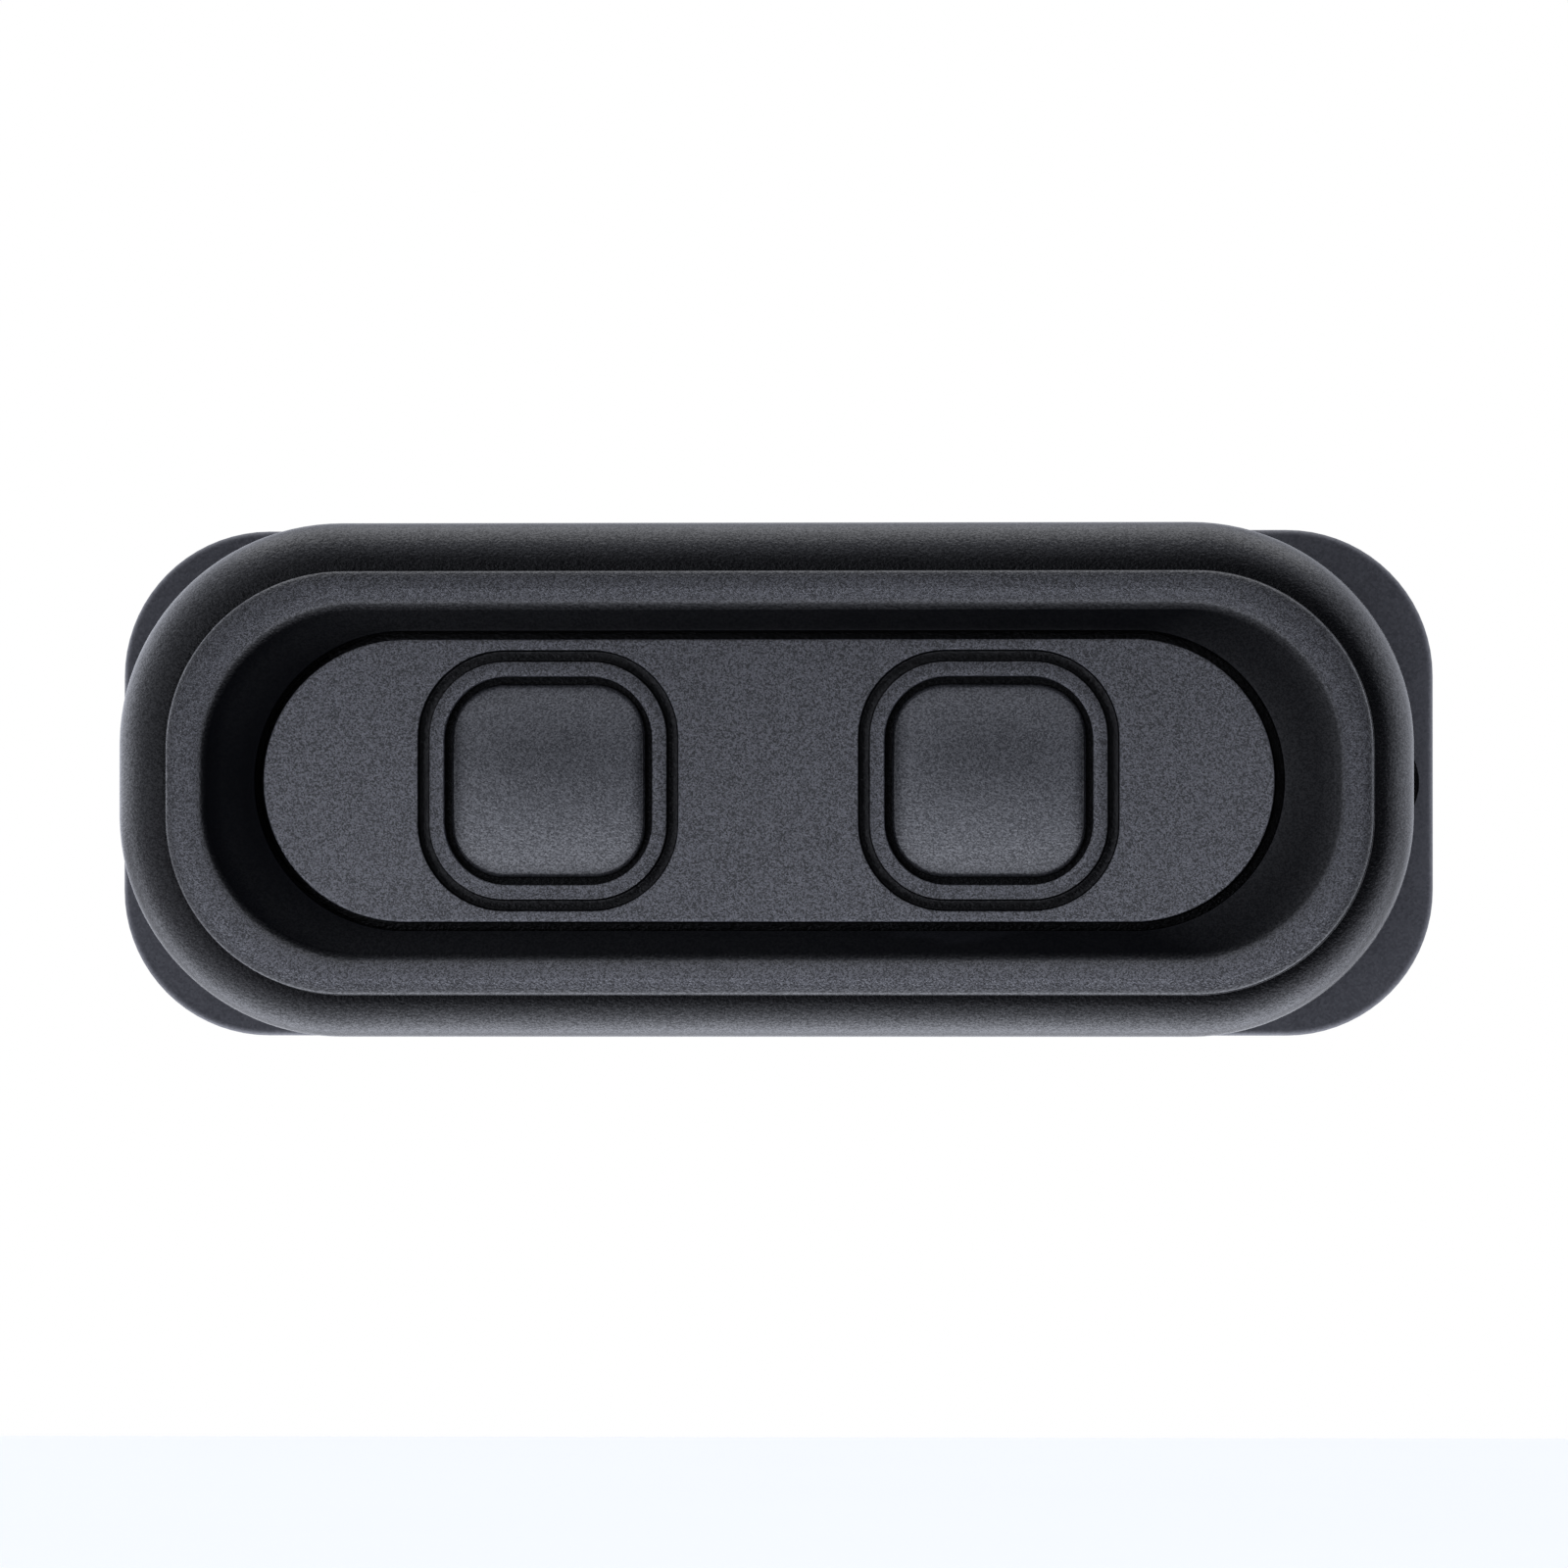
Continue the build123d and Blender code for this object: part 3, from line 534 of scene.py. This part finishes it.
def metal_finish(name, colour, worn, roughness, lay):
    """Plated or drawn metal. Its fine tool marks are stretched by the scale in lay."""
    f = Finish(name, colour, roughness, metallic=1.0)
    marks = f.noise(0.15, detail=3.0, vector=f.stretched(lay))
    patches = f.noise(1.2, detail=4.0)
    f.bump(marks, 3)
    f.rough(f.remap(marks, *MOST, roughness - 0.08, roughness + 0.12))
    f.tint(f.remap(patches, 0.4, 0.75, 0.0, 1.0), worn)
    return f.material


def laminate_finish():
    """Green solder mask over copper tracks, with the weave of the glass cloth just showing."""
    f = Finish("circuit_laminate", (0.010, 0.085, 0.035), 0.38)
    track_pitch, weave_pitch = 3.2 * MM, 2.4 * MM
    tracks = f.node("ShaderNodeTexBrick", offset=0.35, squash=2.3, squash_frequency=3)
    turned = f.node("ShaderNodeMapping")
    turned.inputs["Rotation"].default_value = (math.pi / 2, 0, 0)
    f.link(f.place, turned.inputs["Vector"])
    f.link(turned.outputs["Vector"], tracks.inputs["Vector"])
    tracks.inputs["Scale"].default_value = 1 / track_pitch
    tracks.inputs["Mortar Size"].default_value = 0.05
    tracks.inputs["Mortar Smooth"].default_value = 0.4
    weave = f.node("ShaderNodeTexWave")
    weave.inputs["Scale"].default_value = 1 / weave_pitch
    f.link(f.place, weave.inputs["Vector"])
    f.bump(f.math("ADD", tracks.outputs["Fac"], f.math("MULTIPLY", weave.outputs["Fac"], 0.15)), 25)
    f.rough(f.remap(weave.outputs["Fac"], 0.0, 1.0, 0.34, 0.42))
    f.tint(tracks.outputs["Fac"], (0.035, 0.19, 0.075))
    return f.material


def ceramic_finish():
    f = Finish("resistor_ceramic", (0.035, 0.036, 0.04), 0.45)
    patches = f.noise(0.4, detail=3.0)
    f.bump(f.noise(0.08), 5)
    f.rough(f.remap(patches, *MOST, 0.35, 0.55))
    f.tint(f.remap(patches, 0.4, 0.7, 0.0, 1.0), (0.07, 0.072, 0.078))
    return f.material


# One material for each of the record's material slots.
FINISHES = {
    "bezel_plastic": bezel_finish(),
    "grained_plastic": panel_finish(),
    "key_plastic": key_finish(),
    "plate_plastic": plate_finish(),
    "foam_rubber": foam_finish(),
    "guide_plastic": moulded_finish("guide_moulding", (0.10, 0.10, 0.105), (0.16, 0.16, 0.165), 0.5),
    "seal_silicone": rubber_finish("seal_silicone", (0.022, 0.022, 0.024), (0.045, 0.045, 0.047)),
    "dome_silicone": rubber_finish("dome_silicone", (0.36, 0.37, 0.38), (0.50, 0.51, 0.52)),
    "carbon_rubber": rubber_finish("carbon_rubber", (0.008, 0.008, 0.008), (0.02, 0.02, 0.02)),
    "steel": metal_finish("zinc_steel", (0.60, 0.60, 0.58), (0.42, 0.42, 0.40), 0.34, (1.0, 0.15, 1.0)),
    "gold_plate": metal_finish("gold_flash", (0.85, 0.62, 0.26), (0.70, 0.48, 0.20), 0.26, (0.2, 1.0, 1.0)),
    "capacitor_can": metal_finish("drawn_can", (0.74, 0.74, 0.75), (0.60, 0.60, 0.61), 0.30, (1.0, 0.1, 1.0)),
    "circuit_laminate": laminate_finish(),
    "terminal_plastic": moulded_finish("terminal_moulding", (0.42, 0.43, 0.43), (0.52, 0.53, 0.53), 0.36),
    "lever_plastic": moulded_finish("lever_moulding", (0.66, 0.17, 0.02), (0.78, 0.28, 0.08), 0.34),
    "chip_resin": moulded_finish("chip_resin", (0.018, 0.018, 0.019), (0.035, 0.035, 0.036), 0.6),
    "resistor_ceramic": ceramic_finish(),
}


# ------------------------------------------------------------------ bezel
def inset_loop(inset, height, shift=0.0):
    """A loop inside the bezel's outline, centred on the band at shift 0, on the outline at shift 1."""
    return loop(
        BEZEL_L - 2 * inset,
        BEZEL_W - 2 * inset,
        BEZEL_R - inset,
        height,
        x=OUTLINE_X * shift,
        z=BAND_Z + (OUTLINE_Z - BAND_Z) * shift,
    )


def bezel_side():
    """The side, leaning out from the plate, eased into the quarter-round, then the crease, a tight hollow."""
    loops = []
    steps = 8
    for k in range(steps):
        share = k / steps
        height = BEZEL_BASE + (WIDEST - BEZEL_BASE) * share
        loops.append(inset_loop(TUCK * (1 - share) ** 1.25, height, 1))
    rise = (CREASE - WIDEST) / ROLL_R
    for inset, height in arc((ROLL_R, 0), ROLL_R, 180, 84, 22):
        loops.append(inset_loop(inset, WIDEST + height * rise, 1 - inset / ROLL_R))
    loops += [inset_loop(CREASE_INSET - 0.06, CREASE - 0.03), inset_loop(CREASE_INSET, CREASE + 0.02)]
    return evenly(loops, 0.0)


def bezel_band():
    """The band: an upright outer wall with a rounded edge, a long shoulder, and a flat top."""
    section = evenly([inset_loop(BAND_WALL + back, BAND_TOP - drop) for back, drop in WALL_TOP], 0.0)
    bend = arc((0, 0), 1.0, SHOULDER_START, 90, 10)
    top = SHOULDER_INSET - bend[0][0] * SHOULDER_L
    for k, (back, rise) in enumerate(bend):
        grain = min(1.0, 0.15 + k / 9)
        section.append((inset_loop(top + back * SHOULDER_L, BAND_TOP - (1 - rise) * SHOULDER_H), grain))
    outer = (BEZEL_L - 2 * top, BEZEL_W - 2 * top, BEZEL_R - top, 0.0, BAND_Z)
    inner = (BAND_L + 2 * TOP_MARGIN, BAND_W + 2 * TOP_MARGIN, BAND_R + TOP_MARGIN, 0.0, BAND_Z)
    section.append((between(outer, inner, 0.6, BAND_TOP - 0.005), 1.0))
    return section


def bezel_moat():
    """The band's soft inner edge, then the moat with its gentle fall to the mouth."""

    def edge_outline(inset):
        return BAND_L - 2 * inset, BAND_W - 2 * inset, EDGE_R - inset, EDGE_X, EDGE_Z

    section = []
    for inset, drop, grain in INNER_EDGE:
        length, width, radius, x, z = edge_outline(inset)
        section.append((loop(length, width, radius, BAND_TOP - drop, x=x, z=z), grain))
    last_inset, last_drop, _ = INNER_EDGE[-1]
    foot = edge_outline(last_inset)
    mouth = (MOUTH_L, MOUTH_W, MOUTH_W / 2, 0.0, 0.0)
    fall = BAND_TOP - last_drop - MOUTH_TOP
    for share, sink in MOAT_FALL:
        section.append((between(foot, mouth, share, MOUTH_TOP + fall * (1 - sink)), -1.0))
    section.append((between(foot, mouth, 1.0, MOUTH_TOP - MOUTH_CHAMFER), -1.0))
    section.append((between(foot, mouth, 1.0, MOUTH_TOP - POLISH_END), 0.0))
    return section


def bezel_inside():
    """Under the moat, round the groove that thins the band, down the cavity to the rear cover's seat."""
    rim = 1.0
    outlines = (
        ((MOUTH_L, MOUTH_W, MOUTH_W / 2), CEILING),
        ((MOUTH_L + 2 * rim, MOUTH_W + 2 * rim, MOUTH_W / 2 + rim), CEILING),
        (GROOVE_INNER, CEILING),
        (GROOVE_INNER, GROOVE_TOP),
        (GROOVE_OUTER, GROOVE_TOP),
        (GROOVE_OUTER, CEILING),
        (CAVITY, CEILING),
        (CAVITY, LEDGE),
        (COVER_SEAT, LEDGE),
        (COVER_SEAT, BEZEL_BASE),
    )
    return evenly([loop(*outline, height) for outline, height in outlines], 0.0)


def boss_spots():
    """Places of the screw bosses, (x, z, free end), from the screws that they hold."""
    spots = []
    for node, low in (("cover_screws", LEDGE), ("board_screws", BOARD_FRONT + BOARD_GAP)):
        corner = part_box(node)[1]
        x = corner.x / MM - SCREW_HEAD_R[node]
        z = corner.z / MM - SCREW_HEAD_R[node]
        spots += [(sx * x, sz * z, low) for sx in (-1, 1) for sz in (-1, 1)]
    return spots


def post(shell, x, z, low, high):
    """A hollow post with its free end at low."""
    sides = 32

    def circle(r, height):
        turn = [2 * math.pi * k / sides for k in range(sides)]
        return [Vector(((x + r * math.cos(a)) * MM, -height * MM, (z + r * math.sin(a)) * MM)) for a in turn]

    loops = [
        circle(BOSS_R, high),
        circle(BOSS_R, low + BOSS_CHAMFER),
        circle(BOSS_R - BOSS_CHAMFER, low),
        circle(BOSS_BORE_R, low),
        circle(BOSS_BORE_R, high),
    ]
    shell.stack(evenly(loops, 0.0), closed=True)


def build_bezel():
    shell = Shell()
    shell.stack(bezel_side() + bezel_band() + bezel_moat() + bezel_inside(), closed=True)
    for x, z, low in boss_spots():
        post(shell, x, z, low, BOSS_END)
    piece = shell.build("bezel_moulding", "root", "bezel_plastic")
    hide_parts("bezel")


# ------------------------------------------------------------------ face panel
def panel_outline():
    """From the panel's top over its edge, down and out round the flange, and up inside the skirt."""

    def slot_loop(inset, height):
        return loop(PANEL_L - 2 * inset, PANEL_W - 2 * inset, PANEL_W / 2 - inset, height)

    def flange_loop(inset, height):
        return loop(FLANGE_L - 2 * inset, FLANGE_W - 2 * inset, FLANGE_W / 2 - inset, height)

    edge = arc((PANEL_EDGE, PANEL_TOP - PANEL_EDGE), PANEL_EDGE, 90, 180, len(EDGE_GRAIN) - 1)
    section = [(slot_loop(PANEL_EDGE + 0.10, PANEL_TOP), 1.0)]
    section += [(slot_loop(inset, height), grain) for (inset, height), grain in zip(edge, EDGE_GRAIN)]
    smooth = [
        slot_loop(0.0, FLANGE_FRONT + 0.2),
        slot_loop(-0.05, FLANGE_FRONT + 0.03),
        flange_loop(0.25, FLANGE_FRONT),
        flange_loop(0.03, FLANGE_FRONT - 0.1),
        flange_loop(0.0, FLANGE_FRONT - 0.25),
        flange_loop(0.0, FLANGE_BACK + 0.1),
        flange_loop(0.1, FLANGE_BACK),
        slot_loop(SKIRT_T, FLANGE_BACK),
        slot_loop(SKIRT_T, PANEL_UNDER),
        slot_loop(SKIRT_T + 0.3, PANEL_UNDER),
    ]
    return section + evenly(smooth, 0.0)


def key_opening(key_x):
    """From outside in: the groove round a key, then the aperture for its cap."""
    floor = PANEL_TOP - RING_DEPTH
    inner = -RING_WIDTH
    # distance outside the groove's outer edge or the aperture, height, grain
    groove = (
        (0.22, PANEL_TOP, 1.0),
        (RING_LIP, PANEL_TOP, 1.0),
        (0.03, PANEL_TOP - 0.03, 0.7),
        (0.0, PANEL_TOP - RING_LIP, 0.1),
        (-0.05, floor + 0.12, 0.0),
        (-0.09, floor + 0.03, 0.0),
        (-0.18, floor, 0.0),
        (inner + 0.18, floor, 0.0),
        (inner + 0.09, floor + 0.03, 0.0),
        (inner + 0.05, floor + 0.12, 0.0),
        (inner, PANEL_TOP - RING_LIP, 0.0),
        (inner - 0.03, PANEL_TOP - 0.03, 0.1),
        (inner - RING_LIP, PANEL_TOP, 0.7),
    )
    aperture = (
        (0.2, PANEL_TOP, 1.0),
        (0.06, PANEL_TOP - 0.02, 1.0),
        (0.0, PANEL_TOP - 0.12, 0.7),
        (0.0, PANEL_UNDER, 0.1),
        (0.3, PANEL_UNDER, 0.0),
    )
    section = []
    for size, radius, profile in ((RING, RING_R, groove), (APERTURE, APERTURE_R, aperture)):
        for grow, height, grain in profile:
            side = size + 2 * grow
            section.append((loop(side, side, radius + grow, height, x=key_x, end=20, side=5), grain))
    return section


def build_panel():
    shell = Shell()
    sections = [panel_outline()] + [key_opening(key_x) for key_x in KEY_X.values()]
    ends = [shell.stack(section) for section in sections]
    shell.fill(*(top for top, under in ends))
    shell.fill(*(under for top, under in ends))
    for x in FOOT_X:
        for z in FOOT_Z:
            heights = (FLANGE_BACK + 0.1, PANEL_FEET)
            foot = evenly([loop(FOOT, FOOT, FOOT / 2, h, x, z, end=8, side=1) for h in heights], 1.0)
            for ring in shell.stack(foot):
                shell.cap(ring)
    piece = shell.build("face_panel_moulding", "root", "grained_plastic")
    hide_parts("face_panel")


# ------------------------------------------------------------------ keys
def build_key(side):
    key_x = KEY_X[side]
    shell = Shell()

    def square(size, radius, height):
        return loop(size, size, radius, height, x=key_x, end=24, side=6)

    def circle(radius, height):
        return square(2 * radius, radius, height)

    def arched(size, radius, drop=0.0):
        """A square loop laid on the arched top, or lowered from it."""
        points = square(size, radius, 0)
        for p in points:
            across, up = p.x / MM - key_x, p.z / MM
            fall = BEND_R - math.sqrt(BEND_R**2 - up**2) + SIDE_FALL * (2 * across / CAP) ** 2
            p.y = -(CAP_TOP - fall - drop) * MM
        return points

    # the pressed face: circles in its middle grow into rounded squares at its rim
    face_steps = 28
    half_rim = (CAP - 2 * CAP_EDGE) / 2
    section = []
    for k in range(1, face_steps + 1):
        share = k / face_steps
        rounding = 1.0 + (CAP_R - CAP_EDGE - half_rim) / half_rim * share**1.5
        section.append((arched(2 * half_rim * share, half_rim * share * rounding), 1.0))
    # its rounded edge
    edge = arc((CAP_EDGE, -CAP_EDGE), CAP_EDGE, 78, 180, len(CAP_EDGE_GRAIN) - 1)
    for (inset, height), grain in zip(edge, CAP_EDGE_GRAIN):
        section.append((arched(CAP - 2 * inset, CAP_R - inset, -height), grain))
    # the flange that keeps it in, the guiding tube, and the stem that presses the dome
    behind = [
        square(CAP, CAP_R, KEY_FLANGE_TOP),
        square(KEY_FLANGE - 0.2, KEY_FLANGE_R - 0.1, KEY_FLANGE_TOP),
        square(KEY_FLANGE, KEY_FLANGE_R, KEY_FLANGE_TOP - 0.1),
        square(KEY_FLANGE, KEY_FLANGE_R, CAP_BACK),
        circle(TUBE_R, CAP_BACK),
        circle(TUBE_R, TUBE_END + 0.15),
        circle(TUBE_R - 0.15, TUBE_END),
        circle(TUBE_BORE_R, TUBE_END),
        circle(TUBE_BORE_R, CAP_BACK),
        circle(STEM_R, CAP_BACK),
        circle(STEM_R, STEM_END + 0.1),
        circle(STEM_R - 0.1, STEM_END),
    ]
    first, last = shell.stack(section + evenly(behind, 0.0))
    shell.cap(first)
    shell.cap(last, 0.0)
    # painted shade: a darker, smoother spot above the middle, and darker, smoother strips at the left and
    # right edges
    for v in shell.mesh.verts:
        if v[shell.grain] == 1.0:
            across = v.co.x / MM - key_x
            away = Vector((across / KEY_SHADE_SPREAD, v.co.z / MM - KEY_SHADE_Z)).length / KEY_SHADE_REACH
            strip = max(0.0, (abs(across) - CAP / 2) / EDGE_SHADE_WIDTH + 1)
            v[shell.grain] = max(0.0, 1.0 - KEY_SHADE * math.exp(-(away**2)) - EDGE_SHADE * strip**1.3)
    piece = shell.build(f"{side}_key_cap", f"{side}_key", "key_plastic")
    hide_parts(f"{side}_button")


def build_dome(side):
    """The silicone dome: flange, thin flaring cone, thick crown."""
    shell = Shell()

    def circle(radius, height):
        return loop(2 * radius, 2 * radius, radius, height, x=KEY_X[side], end=16, side=1)

    def flared(share, radius, flare, power, foot):
        """A circle a share of the way down the cone, which widens by flare, mostly near its foot."""
        return circle(radius + flare * share**power, CONE_TOP - (CONE_TOP - foot) * share)

    flange_r = DOME_FLANGE / 2
    outside = (CROWN_R, CONE_FLARE, CONE_POWER, DOME_FLANGE_TOP)
    inside = (BORE_R, BORE_FLARE, BORE_POWER, DOME_BASE)
    loops = [
        circle(CROWN_R - 0.1, CROWN_TOP),
        circle(CROWN_R, CROWN_TOP - 0.1),
        circle(CROWN_R, CONE_TOP + 0.05),
        *(flared(share, *outside) for share in (0.25, 0.5, 0.75, 0.95)),
        circle(CONE_FOOT_R, DOME_FLANGE_TOP),
        circle(flange_r - 0.1, DOME_FLANGE_TOP),
        circle(flange_r, DOME_FLANGE_TOP - 0.1),
        circle(flange_r, DOME_BASE),
        circle(BORE_R + BORE_FLARE, DOME_BASE),
        *(flared(share, *inside) for share in (0.8, 0.55, 0.3, 0.0)),
    ]
    for ring in shell.stack(evenly(loops, 1.0)):
        shell.cap(ring)
    piece = shell.build(f"{side}_dome_skin", "root", "dome_silicone")
    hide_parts(f"{side}_dome")
    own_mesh(piece)


build_bezel()
build_panel()
for side in KEY_X:
    build_key(side)
    build_dome(side)


# ------------------------------------------------------------------ CAD nodes that stay, with better finishes
REPLACED = {"bezel", "face_panel", "left_button", "right_button", "left_dome", "right_dome"}
for part in frame["record"]["subparts"]:
    if part["node"] in REPLACED:
        continue
    node = frame["nodes"][part["node"]]
    for material_slot in node.material_slots:
        material_slot.material = FINISHES[part["material_slot"]]


# ------------------------------------------------------------------ studio: floor, light, camera
def build_floor():
    """A pale floor that starts a little behind the unit, so that light still reaches it from below."""
    reach, drop, front = 3.0, 0.16, 0.12
    corners = [(-reach, front, -drop), (reach, front, -drop), (reach, reach, -drop), (-reach, reach, -drop)]
    data = bpy.data.meshes.new("floor")
    data.from_pydata(corners, [], [(0, 1, 2, 3)])
    floor = bpy.data.objects.new("floor", data)
    bpy.context.scene.collection.objects.link(floor)
    f = Finish("floor_paint", (0.88, 0.88, 0.88), 0.7)
    f.tint(f.noise(300.0), (0.9, 0.9, 0.9))
    data.materials.append(f.material)


# Brightness of the light tent on each side: stops of (degrees from the way the unit faces, level).
TENT = {
    "top": (
        (0, 0.01), (16, 0.03), (28, 0.21), (40, 0.45), (50, 0.67), (60, 0.95),
        (75, 1.04), (90, 1.12), (105, 1.25), (120, 1.22), (140, 1.00), (180, 0.70),
    ),
    "bottom": (
        (0, 0.01), (12, 0.02), (20, 0.40), (30, 0.85), (40, 1.10), (50, 1.50), (60, 2.00),
        (75, 2.90), (90, 3.70), (105, 4.00), (120, 3.80), (140, 2.20), (180, 0.80),
    ),
    "left": (
        (0, 0.01), (4, 0.20), (9, 0.70), (20, 0.55), (30, 0.56), (50, 0.70), (60, 0.95),
        (75, 1.40), (90, 2.30), (105, 3.00), (130, 2.30), (180, 1.00),
    ),
    "right": (
        (0, 0.01), (28, 0.02), (36, 0.08), (44, 0.30), (55, 0.80), (67, 1.08),
        (78, 1.40), (90, 2.00), (110, 2.10), (140, 1.30), (180, 0.80),
    ),
}
TENT_PEAK = 4.0
TENT_TINT = (0.86, 0.89, 1.0)


def build_world():
    """A light tent, dark ahead of the unit and bright at the sides. The camera itself sees plain white."""
    world = bpy.data.worlds.new("light_tent")
    bpy.context.scene.world = world
    world.use_nodes = True
    tree = world.node_tree
    tree.nodes.clear()
    links = tree.links

    def maths(operation, *values):
        made = tree.nodes.new("ShaderNodeMath")
        made.operation = operation
        for socket, value in zip(made.inputs, values):
            if isinstance(value, (int, float)):
                socket.default_value = value
            else:
                links.new(value, socket)
        return made.outputs["Value"]

    def vectors(operation, first, second):
        made = tree.nodes.new("ShaderNodeVectorMath")
        made.operation = operation
        links.new(first, made.inputs[0])
        links.new(second, made.inputs["Scale"] if operation == "SCALE" else made.inputs[1])
        return made.outputs["Vector"]

    place = tree.nodes.new("ShaderNodeTexCoord")
    split = tree.nodes.new("ShaderNodeSeparateXYZ")
    links.new(place.outputs["Generated"], split.inputs["Vector"])
    x, y, z = (split.outputs[axis] for axis in "XYZ")
    half_turns = maths("DIVIDE", maths("ARCCOSINE", maths("MULTIPLY", y, -1.0)), math.pi)
    away = maths("ADD", maths("ADD", maths("MULTIPLY", x, x), maths("MULTIPLY", z, z)), 1e-6)
    total = None
    for side, axis, sign in (("top", z, 1.0), ("bottom", z, -1.0), ("left", x, -1.0), ("right", x, 1.0)):
        ramp = tree.nodes.new("ShaderNodeValToRGB")
        stops = ramp.color_ramp.elements
        while len(stops) < len(TENT[side]):
            stops.new(0.5)
        for stop, (angle, level) in zip(stops, TENT[side]):
            stop.position = angle / 180
            stop.color = (*(level / TENT_PEAK * tint for tint in TENT_TINT), 1)
        links.new(half_turns, ramp.inputs["Fac"])
        lean = maths("MAXIMUM", maths("MULTIPLY", axis, sign), 0.0)
        share = maths("DIVIDE", maths("MULTIPLY", lean, lean), away)
        part = vectors("SCALE", ramp.outputs["Color"], share)
        total = part if total is None else vectors("ADD", total, part)
    tent = tree.nodes.new("ShaderNodeBackground")
    tent.inputs["Strength"].default_value = TENT_PEAK
    links.new(total, tent.inputs["Color"])
    seen = tree.nodes.new("ShaderNodeBackground")
    seen.inputs["Color"].default_value = (1, 1, 1, 1)
    seen.inputs["Strength"].default_value = 1.0
    path = tree.nodes.new("ShaderNodeLightPath")
    pick = tree.nodes.new("ShaderNodeMixShader")
    out = tree.nodes.new("ShaderNodeOutputWorld")
    links.new(path.outputs["Is Camera Ray"], pick.inputs["Fac"])
    links.new(tent.outputs["Background"], pick.inputs[1])
    links.new(seen.outputs["Background"], pick.inputs[2])
    links.new(pick.outputs["Shader"], out.inputs["Surface"])


def build_softbox():
    """A large soft area light high above the unit, aimed at it."""
    place = Vector((0.0, 0.1, 0.9))
    data = bpy.data.lights.new("top_softbox", "AREA")
    data.shape = "RECTANGLE"
    data.size, data.size_y = 1.2, 0.9
    data.energy = 3
    light = bpy.data.objects.new("top_softbox", data)
    light.location = place
    light.rotation_euler = (-place).to_track_quat("-Z", "Y").to_euler()
    bpy.context.scene.collection.objects.link(light)


def build_camera():
    """A long lens, a little to the right of the unit's axis and below it."""
    azimuth, elevation, distance = math.radians(2.8), math.radians(-0.8), 1.0
    view_width = 120.75 * MM  # what the frame spans at the bezel's widest line
    off_right, off_down = 0.95 * MM, 0.19 * MM
    sensor = 36.0
    back = Vector((
        math.sin(azimuth) * math.cos(elevation),
        -math.cos(azimuth) * math.cos(elevation),
        math.sin(elevation),
    ))
    turn = (-back).to_track_quat("-Z", "Y")
    right = turn @ Vector((1, 0, 0))
    up = turn @ Vector((0, 1, 0))
    target = Vector((0, -WIDEST * MM, 0)) + right * off_right - up * off_down
    data = bpy.data.cameras.new("camera")
    data.sensor_width = sensor
    data.lens = sensor * distance / view_width
    data.clip_start, data.clip_end = 0.01, 20
    camera = bpy.data.objects.new("camera", data)
    camera.location = target + back * distance
    camera.rotation_euler = turn.to_euler()
    bpy.context.scene.collection.objects.link(camera)
    bpy.context.scene.camera = camera


build_floor()
build_world()
build_softbox()
build_camera()
bpy.context.scene.view_settings.view_transform = "Standard"
